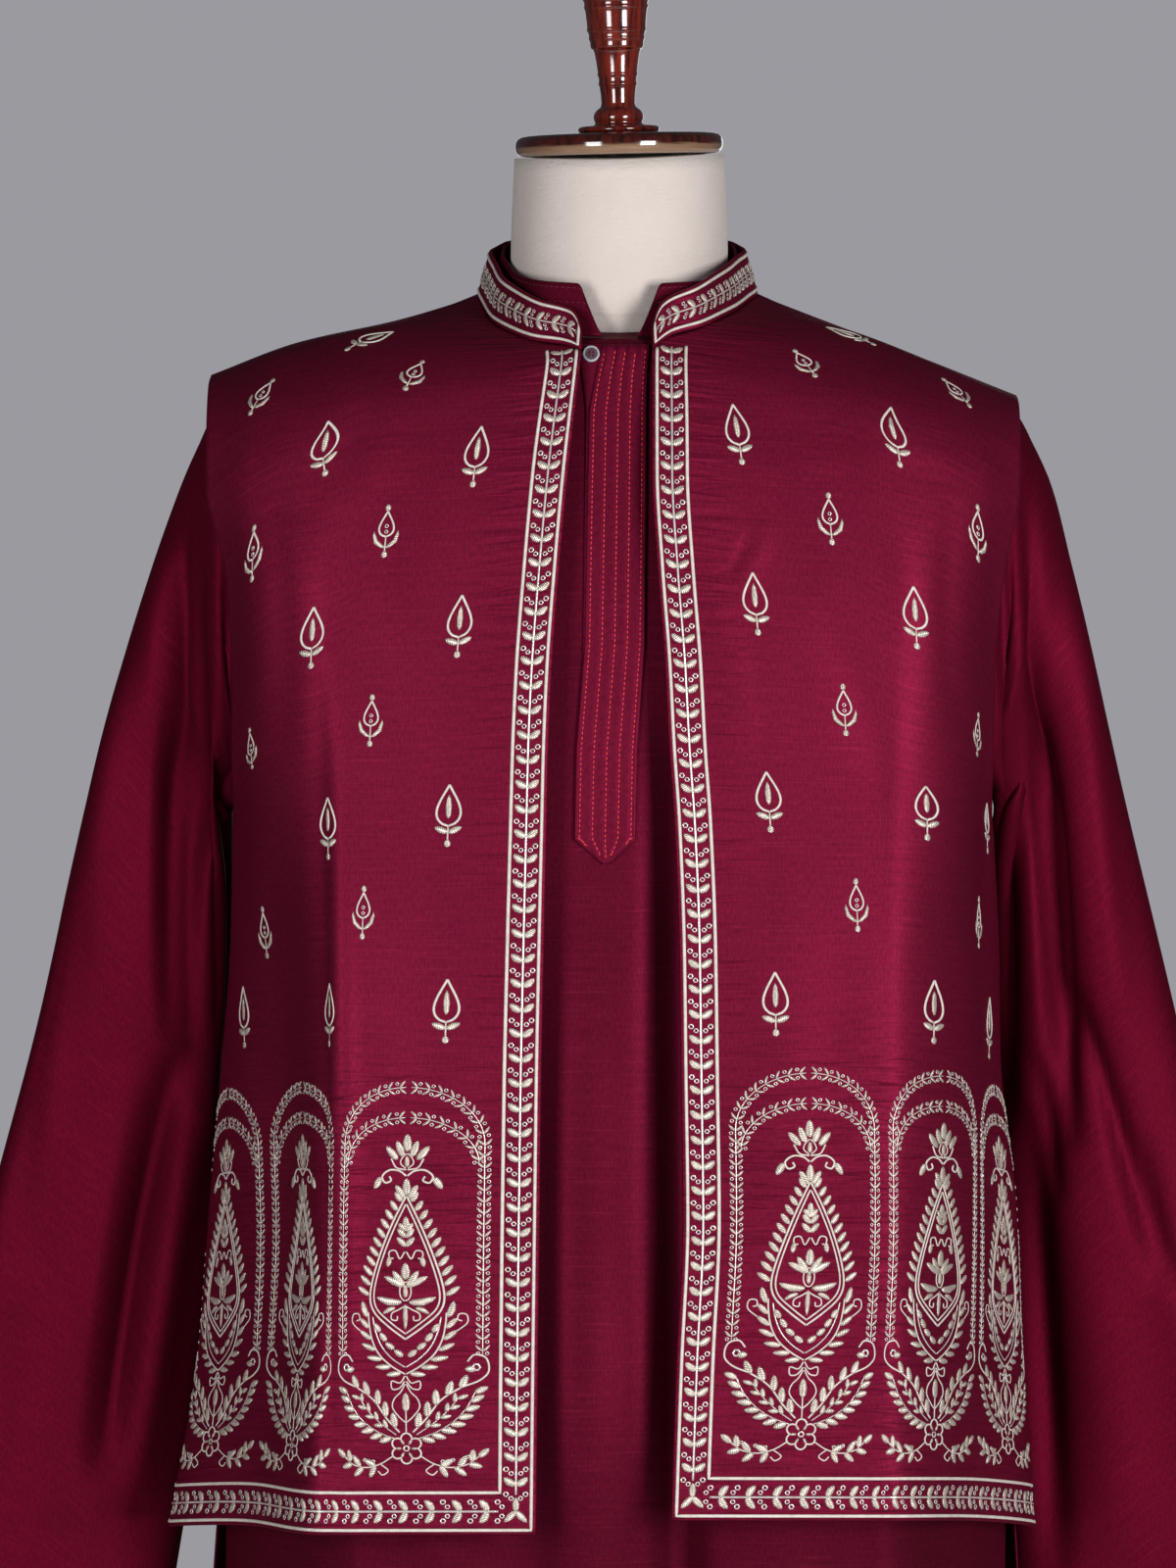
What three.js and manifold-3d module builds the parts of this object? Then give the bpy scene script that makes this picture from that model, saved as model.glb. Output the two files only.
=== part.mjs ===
// A men's sleeveless jacket with a band collar, worn open over a long shirt (kurta), on a limbless
// dress form with a turned wooden top and a stand. Millimetres, +Z up, the front faces -Y, and the
// origin is the middle of the base's underside. "Left" is the side at -X, as the front is seen.
import * as THREE from 'three';
import { mergeVertices } from 'three/addons/utils/BufferGeometryUtils.js';
import Module from 'manifold-3d';

const wasm = await Module();
wasm.setup();

// Driving sizes
const jacketCloth = 2.0;            // silk with its lining, fused
const collarCloth = 2.4;            // jacket band collar with its stiffener
const kurtaCloth = 1.4;
const kurtaCollarCloth = 1.8;
const seam = 0.3;                   // gap where two sewn pieces meet
const seamTrim = 0.45;              // how far each panel ends short of its seam line
const shoulderY = 8;                // the shoulder ridge runs along this line
const armholeStep = 1.3;            // sleeve head to armhole, cloth middle to cloth middle

// A collar is lower at its front ends by the share taper, over the length taperRun.
const jacketCollar = { tall: 25.5, lean: 16, raise: 2, round: 10, endTall: 0.3, taper: 0.24, taperRun: 80 };
// setBack is how far the kurta's collar ends stop short of the neck opening's middle.
const kurtaCollar = { tall: 29.5, lean: 11.5, raise: 1.6, round: 5, endTall: 0.72, slant: 12, setBack: 11 };

const stripCloth = 1.2;
// Placket strips of the neck opening: their left and right edges down to the pointed end.
const placket = [
  { z: 1417, left: -9.6, right: 16.5 },
  { z: 1400, left: -13.5, right: 15 },
  { z: 1380, left: -17, right: 14.6 },
  { z: 1329, left: -18.2, right: 14.4 },
  { z: 1248, left: -19.6, right: 13.4 },
  { z: 1188, left: -24.4, right: 9.2 },
  { z: 1138, left: -25.4, right: 8.3 },
  { z: 1124.5, left: -10, right: -6 },
];
const underPlacket = [
  { z: 1417.5, left: -23, right: 9 },
  { z: 1380, left: -19, right: 11 },
  { z: 1152, left: -22, right: 6 },
  { z: 1144, left: -10, right: -6 },
];
const button = { across: 9.6, thick: 2.4, hole: 1.3, holeRing: 1.55, x: -16.4, z: 1412 };

// The neck cap leans a little to the side and to the front; frontDip is the gap under its front edge.
const neckCap = {
  across: 121, thick: 12.5, edge: 5.2, crown: 0.5, seatAcross: 48, z: 1531.8, tiltSide: -1.3, tiltFront: 2.8,
  frontDip: 3.6,
};
const neckMiddleY = -4;
const pole = { across: 30, collarAcross: 64, collarTall: 14, collarBevel: 4, collarCone: 6 };
const base = { across: 384, thick: 24, edge: 9, footBevel: 2 };
const torsoBottom = 740;

// Jacket fronts: one row a section, from the hem up to the top of the chest. Each section runs
// from the open front edge, along the flat face to its turn, round the flank, to the side seam or,
// above the underarm, to the armhole.
const jacketUnderarm = 5;           // index of the section at the underarm
const jacketFrontLeft = {
  sections: [
    { edge: [-48, -150, 750], turn: [-165, -151, 750], flank: [-211, -78, 746], side: [-261, -3, 736] },
    { edge: [-47, -149, 842], turn: [-163, -150, 842], flank: [-193, -82, 841], side: [-244, -1, 836] },
    { edge: [-46, -148, 925], turn: [-162, -149, 925], flank: [-188, -82, 924], side: [-237, 0, 922] },
    { edge: [-45, -147, 1004], turn: [-160, -146, 1004], flank: [-188, -82, 1004], side: [-229, 0, 1003] },
    { edge: [-43.5, -145, 1080], turn: [-158, -142, 1080], flank: [-191, -85, 1080], side: [-222, 0, 1079] },
    { edge: [-42, -142, 1146], turn: [-158, -137, 1146], flank: [-195, -90, 1144], side: [-221, 0, 1140] },
    { edge: [-41, -140, 1190], turn: [-160, -134, 1190], flank: [-199, -95, 1188], side: [-220, -50, 1176] },
    { edge: [-39, -137, 1236], turn: [-162, -130, 1236], flank: [-202, -100, 1232], side: [-220, -66, 1224] },
    { edge: [-35, -131, 1290], turn: [-164, -125, 1290], flank: [-206, -103, 1286], side: [-223, -77, 1281] },
    { edge: [-30, -122, 1346], turn: [-160, -116, 1345], flank: [-210, -98, 1340], side: [-236, -74, 1336] },
  ],
  neck: [[-22.5, -99, 1414], [-48, -84, 1419.5], [-73, -46, 1432.5], [-81.5, shoulderY, 1450]],
  shoulder: { turn: [-129, 1436], flank: [-187, 1423], side: [-237.6, 1404] },
};
const jacketFrontRight = {
  sections: [
    { edge: [29, -150, 758], turn: [149, -151, 758], flank: [200, -88, 750], side: [240.5, 0, 735] },
    { edge: [32, -149, 845], turn: [150, -150, 845], flank: [196, -86, 843], side: [233.5, 1, 838] },
    { edge: [35.5, -148, 925], turn: [151, -148, 925], flank: [193, -86, 924], side: [230, 1, 922] },
    { edge: [34.5, -147, 1004], turn: [151, -145, 1004], flank: [191, -88, 1004], side: [221, 1, 1003] },
    { edge: [33.5, -145, 1080], turn: [151, -141, 1080], flank: [190, -90, 1080], side: [219, 0, 1079] },
    { edge: [31, -142, 1146], turn: [152, -136, 1146], flank: [191, -93, 1144], side: [215.5, 0, 1140] },
    { edge: [28, -139.5, 1190], turn: [153, -133, 1190], flank: [193, -95, 1188], side: [213, -50, 1176] },
    { edge: [25.5, -137, 1238], turn: [154, -130, 1237], flank: [195, -99, 1234], side: [213, -66, 1226] },
    { edge: [21.5, -131, 1291], turn: [156, -125, 1290], flank: [198, -103, 1286], side: [218, -77, 1282] },
    { edge: [18.5, -122, 1347], turn: [154, -116, 1344], flank: [204, -98, 1338], side: [228, -74, 1334] },
  ],
  neck: [[18.8, -99, 1415], [46, -84, 1427.5], [67, -47, 1439], [79.5, shoulderY, 1451]],
  shoulder: { turn: [125, 1433.5], flank: [180, 1412.5], side: [231.4, 1392] },
};
// Jacket back: the same sections carried round to the centre back, given for one half.
const jacketBack = {
  sections: [
    { middle: [146, 744], turn: [150, 143, 744], flank: [208, 86, 742] },
    { middle: [142, 840], turn: [148, 139, 840], flank: [202, 82, 839] },
    { middle: [138, 925], turn: [146, 135, 925], flank: [197, 80, 924] },
    { middle: [133, 1004], turn: [146, 130, 1004], flank: [191, 80, 1004] },
    { middle: [129, 1080], turn: [148, 125, 1080], flank: [190, 80, 1080] },
    { middle: [128, 1146], turn: [150, 123, 1146], flank: [191, 86, 1144] },
    { middle: [128, 1190], turn: [151, 122, 1190], flank: [194, 97, 1188], side: [215, 60, 1176] },
    { middle: [127, 1236], turn: [152, 120, 1236], flank: [196, 104, 1232], side: [216, 80, 1224] },
    { middle: [125, 1290], turn: [151, 118, 1290], flank: [198, 106, 1286], side: [220, 88, 1281] },
    { middle: [118, 1346], turn: [146, 110, 1345], flank: [203, 98, 1340], side: [230, 82, 1336] },
  ],
  nape: [101, 1408],
  neck: [[0, 80, 1461], [46, 69, 1460], [71, 44, 1457.5]],
};

// Kurta body, given for one half; its side seam is shared by front and back.
const kurtaSway = -3;               // the skirt hangs this far towards the left at the hem
const kurtaUnderarm = 6;            // index of the section at the underarm
const kurtaSide = [
  [246, 2, 398], [237, 2, 640], [232, 2, 735], [218, 2, 850], [211, 3, 1004], [207, 5, 1110], [204, 8, 1160],
];
const kurtaFront = {
  sections: [
    { middle: [-136, 398], turn: [150, -134, 398], flank: [214, -84, 398] },
    { middle: [-132, 640], turn: [148, -130, 640], flank: [204, -80, 640] },
    { middle: [-130, 735], turn: [146, -128, 735], flank: [196, -80, 735] },
    { middle: [-128, 850], turn: [142, -125, 850], flank: [180, -78, 850] },
    { middle: [-125, 1004], turn: [138, -120, 1004], flank: [176, -78, 1004] },
    { middle: [-121, 1110], turn: [138, -115, 1110], flank: [177, -78, 1110] },
    { middle: [-119, 1160], turn: [139, -112, 1160], flank: [179, -76, 1160] },
    { middle: [-117, 1202], turn: [141, -110, 1202], flank: [182, -78, 1200], side: [206, -35, 1198] },
    { middle: [-113, 1276], turn: [144, -106, 1276], flank: [190, -82, 1276], side: [212, -52, 1276] },
    { middle: [-105, 1337], turn: [138, -98, 1337], flank: [194, -74, 1336], side: [217, -44, 1335] },
  ],
  neck: [[0, -88, 1421], [41, -75, 1424], [64.5, -43, 1430.5]],
};
const kurtaBack = {
  sections: [
    { middle: [134, 398], turn: [150, 132, 398], flank: [214, 86, 398] },
    { middle: [130, 640], turn: [148, 128, 640], flank: [204, 82, 640] },
    { middle: [128, 735], turn: [146, 125, 735], flank: [196, 80, 735] },
    { middle: [125, 850], turn: [142, 121, 850], flank: [182, 76, 850] },
    { middle: [119, 1004], turn: [138, 115, 1004], flank: [177, 72, 1004] },
    { middle: [116, 1110], turn: [138, 111, 1110], flank: [177, 72, 1110] },
    { middle: [115, 1160], turn: [140, 110, 1160], flank: [178, 76, 1160] },
    { middle: [115, 1202], turn: [142, 109, 1202], flank: [181, 82, 1200], side: [206, 50, 1198] },
    { middle: [114, 1276], turn: [144, 107, 1276], flank: [189, 88, 1276], side: [212, 68, 1276] },
    { middle: [107, 1337], turn: [138, 100, 1337], flank: [194, 84, 1336], side: [217, 60, 1335] },
  ],
  nape: [93, 1402],
  neck: [[0, 68.5, 1462], [38, 60, 1460.5], [62, 38, 1455]],
};
const kurtaShoulder = { neck: [74.5, 1447.5], turn: [125, 1431.2], flank: [180, 1410.2], side: [222, 1393] };
// Soft hanging folds of the kurta front: where on the body (x), how deep and wide, and their span.
const kurtaFolds = [
  { x: -62, deep: -7, wide: 22, from: 398, to: 1010 },
  { x: -18, deep: 5, wide: 20, from: 398, to: 960 },
  { x: 30, deep: -6, wide: 22, from: 398, to: 1040 },
  { x: 92, deep: 6, wide: 26, from: 398, to: 820 },
  { x: -120, deep: 5, wide: 28, from: 398, to: 780 },
];

// Sleeves: one row a ring, from below the armhole to the hem. out and in are the ring's outer and
// inner ends [x, z] on the outline from the front, mid and deep its middle and half depth in y, and
// back how far its inner end lies further back than its outer end.
const sleeveLeft = [
  { out: [-238.5, 1376], in: [-221, 1157], mid: 8, back: 0, deep: 56 },
  { out: [-256, 1337], in: [-226, 1149], mid: 9, back: 8, deep: 55 },
  { out: [-275, 1282], in: [-226, 1124], mid: 10, back: 20, deep: 50 },
  { out: [-290, 1232], in: [-223.5, 1090], mid: 12, back: 34, deep: 44 },
  { out: [-315, 1135], in: [-223, 1032], mid: 16, back: 40, deep: 41 },
  { out: [-340, 1025], in: [-228, 957], mid: 24, back: 38, deep: 38 },
  { out: [-366, 928], in: [-236, 878], mid: 32, back: 34, deep: 35 },
  { out: [-392, 820], in: [-248, 790], mid: 40, back: 28, deep: 31 },
  { out: [-422, 699], in: [-266, 678], mid: 46, back: 16, deep: 24 },
];
const sleeveRight = [
  { out: [234.5, 1376], in: [218.5, 1157], mid: 8, back: 0, deep: 56 },
  { out: [251, 1340], in: [220, 1149], mid: 9, back: 8, deep: 55 },
  { out: [263, 1292], in: [219, 1124], mid: 10, back: 20, deep: 50 },
  { out: [278, 1228], in: [220, 1090], mid: 12, back: 34, deep: 44 },
  { out: [297, 1146], in: [220, 1036], mid: 16, back: 38, deep: 41 },
  { out: [322, 1044], in: [223.5, 977], mid: 24, back: 36, deep: 38 },
  { out: [346, 942], in: [225, 897], mid: 32, back: 32, deep: 35 },
  { out: [370, 836], in: [229, 806], mid: 42, back: 26, deep: 31 },
  { out: [399, 700], in: [235, 686], mid: 50, back: 14, deep: 24 },
];
// Long folds of the sleeves: place round the ring (0 outside, 90 front, 180 inside), depth, width
// in degrees, and the stretch of the sleeve's length, 0 at the armhole and 1 at the hem.
const sleeveFolds = {
  left: [
    { around: 128, deep: 9, wide: 20, from: 0.12, to: 0.72 },
    { around: 160, deep: -8, wide: 18, from: 0.15, to: 0.66 },
    { around: 70, deep: -5, wide: 30, from: 0.45, to: 1.0 },
    { around: 250, deep: -6, wide: 30, from: 0.3, to: 0.9 },
  ],
  right: [
    { around: 112, deep: -9, wide: 20, from: 0.08, to: 0.68 },
    { around: 146, deep: 8, wide: 20, from: 0.12, to: 0.6 },
    { around: 74, deep: 5, wide: 26, from: 0.3, to: 0.8 },
    { around: 262, deep: -6, wide: 30, from: 0.25, to: 0.85 },
  ],
};

// Dress form: each level's half width, its front and back, and how squared its outline is (2 is an
// ellipse, less is a diamond).
const torso = [
  { z: 740, wide: 150, front: -84, back: 90, power: 2.25 },
  { z: 752, wide: 165, front: -98, back: 102, power: 2.25 },
  { z: 800, wide: 172, front: -106, back: 110, power: 2.25 },
  { z: 900, wide: 165, front: -104, back: 106, power: 2.25 },
  { z: 1000, wide: 157, front: -100, back: 96, power: 2.25 },
  { z: 1080, wide: 157, front: -98, back: 92, power: 2.25 },
  { z: 1160, wide: 166, front: -102, back: 98, power: 2.25 },
  { z: 1240, wide: 180, front: -103, back: 102, power: 2.2 },
  { z: 1290, wide: 188, front: -99, back: 101, power: 2.2 },
  { z: 1330, wide: 195, front: -90, back: 94, power: 2.1 },
  { z: 1360, wide: 199, front: -78, back: 84, power: 2 },
  { z: 1380, wide: 196, front: -68, back: 74, power: 1.8 },
  { z: 1394, wide: 187, front: -64, back: 66, power: 1.55 },
  { z: 1406, wide: 171, front: -64, back: 62, power: 1.4 },
  { z: 1418, wide: 142, front: -65, back: 60, power: 1.3 },
  { z: 1428, wide: 100, front: -66, back: 59, power: 1.35 },
  { z: 1435, wide: 75, front: -66, back: 58, power: 1.6 },
  { z: 1441, wide: 65.5, front: -66, back: 58, power: 1.9 },
  { z: 1450, wide: 63.4, front: -66, back: 58, power: 2 },
  { z: 1480, wide: 63, front: -66, back: 58, power: 2 },
  { z: 1531.5, wide: 61, front: -66, back: 58, power: 2 },
];

// Turned finial: [radius, height above the cap] up one side.
const finialProfile = [
  [0, 0], [22.4, 0], [23.7, 1.2], [23.7, 2.8], [22, 4], [13, 4.6], [14.6, 8], [14.4, 11], [12.4, 13.6],
  [9.7, 15.2], [9.9, 21], [10.6, 27], [11.4, 28], [10.9, 29.4], [11, 32.4], [11.9, 33.6], [11.4, 35],
  [12.4, 42], [13.4, 48], [15.4, 49], [15.6, 53.4], [16.5, 54.4], [16.1, 55.8], [16.6, 58.4],
  [17.5, 59.4], [17, 60.8], [18, 71.4], [18.9, 72.6], [18.4, 74], [18.7, 76.2], [19.4, 77.2],
  [18.8, 78.6], [18, 84], [15.4, 89], [11, 92.4], [5.6, 94.2], [0, 94.8],
];

const colours = {
  jacket: 0x7d1336, kurta: 0x6b0f2c, form: 0xd4cac1, wood: 0x5d2a24, button: 0xd8dce2, base: 0x4a211b,
};

// A smooth curve through the values at the knots that never overshoots them (monotone cubic).
// firm scales the slope at the first and the last knot: 0 makes the curve level there.
function smoothThrough(knots, values, at, firm = [1, 1]) {
  const last = knots.length - 1;
  const steps = [];
  const slopes = [];
  for (let i = 0; i < last; i++) {
    steps.push(knots[i + 1] - knots[i]);
    slopes.push((values[i + 1] - values[i]) / steps[i]);
  }
  const tangents = [slopes[0] * firm[0]];
  for (let i = 1; i < last; i++) {
    const before = slopes[i - 1];
    const after = slopes[i];
    const weightA = 2 * steps[i] + steps[i - 1];
    const weightB = steps[i] + 2 * steps[i - 1];
    const same = before * after > 0;
    tangents.push(same ? (weightA + weightB) / (weightA / before + weightB / after) : 0);
  }
  tangents.push(slopes[last - 1] * firm[1]);
  let i = 0;
  while (i < last - 1 && at > knots[i + 1]) {
    i++;
  }
  const t = (at - knots[i]) / steps[i];
  const t2 = t * t;
  const t3 = t2 * t;
  return (2 * t3 - 3 * t2 + 1) * values[i] + (t3 - 2 * t2 + t) * steps[i] * tangents[i]
    + (3 * t2 - 2 * t3) * values[i + 1] + (t3 - t2) * steps[i] * tangents[i + 1];
}

// The point at a share of the way along the smooth curve through some points. firm holds, for
// each axis, how much of its slope the curve keeps at its two ends.
function pointAlong(points, share, firm = {}) {
  const knots = [0];
  for (let i = 1; i < points.length; i++) {
    knots.push(knots[i - 1] + Math.max(points[i].distanceTo(points[i - 1]), 0.01));
  }
  const at = share * knots[knots.length - 1];
  const axis = (name) => smoothThrough(knots, points.map((p) => p[name]), at, firm[name]);
  return new THREE.Vector3(axis('x'), axis('y'), axis('z'));
}

// A panel is a net of points: columns from its inner edge to its outer edge, sections upwards.
// height runs from 0 at the hem to 1 at the shoulder, across from 0 at the inner edge to 1. The
// cloth runs straight back at a side seam, and level through a middle that lies on the centre.
function netPoint(net, across, height) {
  const { columns, underarm, middleTop } = net;
  const knots = columns[0].map((_, i) => i);
  const at = height * (columns[0].length - 1);
  const row = columns.map((column) => new THREE.Vector3(
    smoothThrough(knots, column.map((p) => p.x), at),
    smoothThrough(knots, column.map((p) => p.y), at),
    smoothThrough(knots, column.map((p) => p.z), at),
  ));
  const open = THREE.MathUtils.clamp(at - underarm, 0, 1);
  const centred = middleTop === undefined ? 1 : THREE.MathUtils.clamp(at - middleTop, 0, 1);
  return pointAlong(row, across, { x: [1, open], y: [centred, 1], z: [centred, 1] });
}

// Over the shoulder a column follows a quarter of an ellipse, upright at the chest and level at
// the ridge; part is 0 at the chest and 1 at the ridge.
function overShoulder(chest, ridge, part) {
  const angle = part * Math.PI / 2;
  return new THREE.Vector3(
    chest.x + (ridge.x - chest.x) * part,
    ridge.y + (chest.y - ridge.y) * Math.cos(angle),
    chest.z + (ridge.z - chest.z) * Math.sin(angle),
  );
}

const vector = (p) => new THREE.Vector3(...p);
const onRidge = ([x, z]) => new THREE.Vector3(x, shoulderY, z);

// The columns beside the inner one: the sections' own points, then the way over the shoulder.
function outerColumns(count, pointOf, ridgeOf, steps) {
  return ['turn', 'flank', 'side'].map((name) => {
    const column = Array.from({ length: count }, (_, i) => pointOf(name, i));
    const chest = column[count - 1];
    const arc = evenly(steps).slice(1).map((part) => overShoulder(chest, ridgeOf(name), part));
    return [...column, ...arc];
  });
}

function jacketFrontNet(panel) {
  const inner = [...panel.sections.map((section) => vector(section.edge)), ...panel.neck.map(vector)];
  const count = panel.sections.length;
  const pointOf = (name, i) => vector(panel.sections[i][name]);
  const ridgeOf = (name) => onRidge(panel.shoulder[name]);
  const columns = [inner, ...outerColumns(count, pointOf, ridgeOf, inner.length - count)];
  return { columns, underarm: jacketUnderarm, neckRow: count };
}

// One half of the back; side is -1 for the left and 1 for the right.
function jacketBackNet(side) {
  const front = side < 0 ? jacketFrontLeft : jacketFrontRight;
  const { sections, nape, neck } = jacketBack;
  const spine = [...sections.map((section) => section.middle), nape];
  const middle = spine.map((p) => new THREE.Vector3(0, ...p));
  const neckline = neck.map(([x, y, z]) => new THREE.Vector3(side * x, y, z));
  const inner = [...middle, ...neckline, vector(front.neck[front.neck.length - 1])];
  const pointOf = (name, i) => {
    const own = sections[i][name];
    return own ? new THREE.Vector3(side * own[0], own[1], own[2]) : vector(front.sections[i][name]);
  };
  const ridgeOf = (name) => onRidge(front.shoulder[name]);
  const steps = inner.length - sections.length;
  const columns = [inner, ...outerColumns(sections.length, pointOf, ridgeOf, steps)];
  return { columns, underarm: jacketUnderarm, neckRow: middle.length, middleTop: middle.length };
}

function kurtaNet({ sections, nape, neck }, side) {
  const shift = (z) => kurtaSway * THREE.MathUtils.clamp((1160 - z) / 700, 0, 1);
  const place = ([x, y, z]) => new THREE.Vector3(side * x + shift(z), y, z);
  const middle = sections.map((section) => place([0, ...section.middle]));
  if (nape) {
    middle.push(place([0, ...nape]));
  }
  const [neckX, neckZ] = kurtaShoulder.neck;
  const inner = [...middle, ...neck.map(place), place([neckX, shoulderY, neckZ])];
  const pointOf = (name, i) => place(sections[i][name] ?? kurtaSide[i]);
  const ridgeOf = (name) => place([kurtaShoulder[name][0], shoulderY, kurtaShoulder[name][1]]);
  const steps = inner.length - sections.length;
  const columns = [inner, ...outerColumns(sections.length, pointOf, ridgeOf, steps)];
  return { columns, underarm: kurtaUnderarm, neckRow: middle.length, middleTop: middle.length };
}

function evenly(count, from = 0, to = 1) {
  return Array.from({ length: count + 1 }, (_, i) => from + (to - from) * i / count);
}

// A net as a grid of points, rows upwards. stretches lists how many rows lie between the hem, the
// underarm, the section before the neck, the neck and the shoulder.
function gridOf(net, columns, stretches) {
  const last = net.columns[0].length - 1;
  const stops = [0, net.underarm, net.neckRow - 1, net.neckRow, last];
  const heights = stretches.flatMap((count, i) => (
    evenly(count, stops[i] / last, stops[i + 1] / last).slice(1)
  ));
  return [0, ...heights].map((height) => evenly(columns).map((share) => netPoint(net, share, height)));
}

// Moves a grid's last column, or last row, back by half a seam, so two sewn panels stay apart.
function trimSide(grid) {
  grid.forEach((row) => {
    const end = row.length - 1;
    const back = row[end - 1].clone().sub(row[end]).setLength(seamTrim);
    row[end].add(back);
  });
}

function trimTop(grid) {
  const top = grid.length - 1;
  grid[top].forEach((point, i) => {
    const back = grid[top - 1][i].clone().sub(point).setLength(seamTrim);
    point.add(back);
  });
}

// Collects grids into one sheet whose shared points are joined. A grid marked turned has its
// columns running the other way round, so its squares are listed the other way.
function sheetOf(grids) {
  const points = [];
  const squares = [];
  const seen = new Map();
  const indexOf = (p) => {
    const key = p.toArray().map((v) => v.toFixed(3)).join();
    if (!seen.has(key)) {
      seen.set(key, points.length);
      points.push(p.clone());
    }
    return seen.get(key);
  };
  grids.forEach(({ grid, turned, closed }) => {
    const columns = grid[0].length;
    for (let row = 0; row + 1 < grid.length; row++) {
      for (let column = 0; column + 1 < columns + (closed ? 1 : 0); column++) {
        const next = (column + 1) % columns;
        const [low, high] = [grid[row], grid[row + 1]];
        const corners = [low[column], low[next], high[next], high[column]];
        const square = [...new Set(corners.map(indexOf))];
        squares.push(turned ? square.reverse() : square);
      }
    }
  });
  return { points, squares };
}

function geometryFrom(points, faces) {
  const numbers = points.flatMap((p) => p.toArray());
  const geometry = new THREE.BufferGeometry();
  geometry.setAttribute('position', new THREE.Float32BufferAttribute(numbers, 3));
  geometry.setIndex(faces.flat());
  return geometry;
}

// A sheet with its thickness: an outer and an inner skin half a thickness to each side, and a
// wall along every open edge.
function thicken({ points, squares }, thickness) {
  const normals = points.map(() => new THREE.Vector3());
  const halves = ([a, b, c, d]) => (d === undefined ? [[a, b, c]] : [[a, b, c], [a, c, d]]);
  const triangles = squares.flatMap(halves);
  triangles.forEach(([a, b, c]) => {
    const normal = points[b].clone().sub(points[a]).cross(points[c].clone().sub(points[a]));
    [a, b, c].forEach((i) => normals[i].add(normal));
  });
  normals.forEach((normal) => normal.normalize());
  const count = points.length;
  const skin = (lift) => points.map((p, i) => p.clone().addScaledVector(normals[i], lift));
  const positions = [...skin(thickness / 2), ...skin(-thickness / 2)];
  const faces = triangles.flatMap(([a, b, c]) => [[a, b, c], [a + count, c + count, b + count]]);
  const edges = new Map();
  squares.forEach((square) => square.forEach((a, i) => {
    const b = square[(i + 1) % square.length];
    edges.set(`${a},${b}`, [a, b]);
  }));
  edges.forEach(([a, b]) => {
    if (!edges.has(`${b},${a}`)) {
      faces.push([b, a, a + count], [b, a + count, b + count]);
    }
  });
  return geometryFrom(positions, faces);
}

function material(colour, roughness, metalness = 0) {
  return new THREE.MeshStandardMaterial({ color: colour, roughness, metalness });
}

const garment = new THREE.Group();

function addPiece(name, geometry, finish) {
  const mesh = new THREE.Mesh(geometry, finish);
  mesh.name = name;
  garment.add(mesh);
  return mesh;
}

// Jacket fronts and back
const silk = material(colours.jacket, 0.5);
const jacketNets = {
  frontLeft: jacketFrontNet(jacketFrontLeft),
  frontRight: jacketFrontNet(jacketFrontRight),
  backLeft: jacketBackNet(-1),
  backRight: jacketBackNet(1),
};
const rowsOf = { front: [6, 4, 2, 4], back: [5, 4, 2, 4] };

// One panel from the grids of its net or of its two halves; turned says which run the other way.
function panel(name, grids, cloth, finish) {
  grids.forEach(({ grid }) => {
    trimSide(grid);
    trimTop(grid);
  });
  addPiece(name, thicken(sheetOf(grids), cloth), finish);
}

const jacketFrontColumns = 14;
panel(
  'jacket_front_left',
  [{ grid: gridOf(jacketNets.frontLeft, jacketFrontColumns, rowsOf.front), turned: true }],
  jacketCloth, silk,
);
panel(
  'jacket_front_right',
  [{ grid: gridOf(jacketNets.frontRight, jacketFrontColumns, rowsOf.front), turned: false }],
  jacketCloth, silk,
);
const jacketBackColumns = 9;
panel(
  'jacket_back',
  [
    { grid: gridOf(jacketNets.backLeft, jacketBackColumns, rowsOf.back), turned: false },
    { grid: gridOf(jacketNets.backRight, jacketBackColumns, rowsOf.back), turned: true },
  ],
  jacketCloth, silk,
);

// A band collar stands on a neckline, given as points from its left front end round the back to
// its right front end. It leans in as it rises, and its front corners are rounded or slanted.
function collarGrid(neckline, collar, columns, rows) {
  const centre = new THREE.Vector3(0, neckMiddleY, 0);
  const lean = THREE.MathUtils.degToRad(collar.lean);
  const length = neckline.slice(1).reduce((sum, p, i) => sum + p.distanceTo(neckline[i]), 0);
  const shares = evenly(columns).map((share) => {
    const fromEnd = Math.min(share, 1 - share) * 2;
    const eased = fromEnd ** 1.35 / 2;
    return share < 0.5 ? eased : 1 - eased;
  });
  return evenly(rows).map((rise) => shares.map((share) => {
    const cut = (collar.slant ?? 0) * rise / length;
    const along = cut + share * (1 - 2 * cut);
    const foot = pointAlong(neckline, along);
    const fromEnd = Math.min(share, 1 - share) * length;
    const near = THREE.MathUtils.clamp(fromEnd / collar.round, 0, 1);
    const rounding = collar.endTall + (1 - collar.endTall) * Math.sqrt(1 - (1 - near) ** 2);
    const away = THREE.MathUtils.clamp(fromEnd / (collar.taperRun ?? 1), 0, 1);
    const tall = collar.tall * rounding * (1 - (collar.taper ?? 0) * (1 - away) ** 2);
    const inward = centre.clone().sub(foot).setZ(0).normalize();
    const up = collar.raise + rise * tall * Math.cos(lean);
    return foot.addScaledVector(inward, rise * tall * Math.sin(lean)).setZ(foot.z + up);
  }));
}

// A garment's neckline, from the left front end round the back to the right front end.
function necklineOf(nets) {
  const edge = (net) => {
    const last = net.columns[0].length - 1;
    return evenly(6, net.neckRow / last, 1).map((height) => netPoint(net, 0, height));
  };
  const back = [...edge(nets.backLeft).reverse(), ...edge(nets.backRight).slice(1)];
  return [...edge(nets.frontLeft), ...back.slice(1, -1), ...edge(nets.frontRight).reverse()];
}

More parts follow.
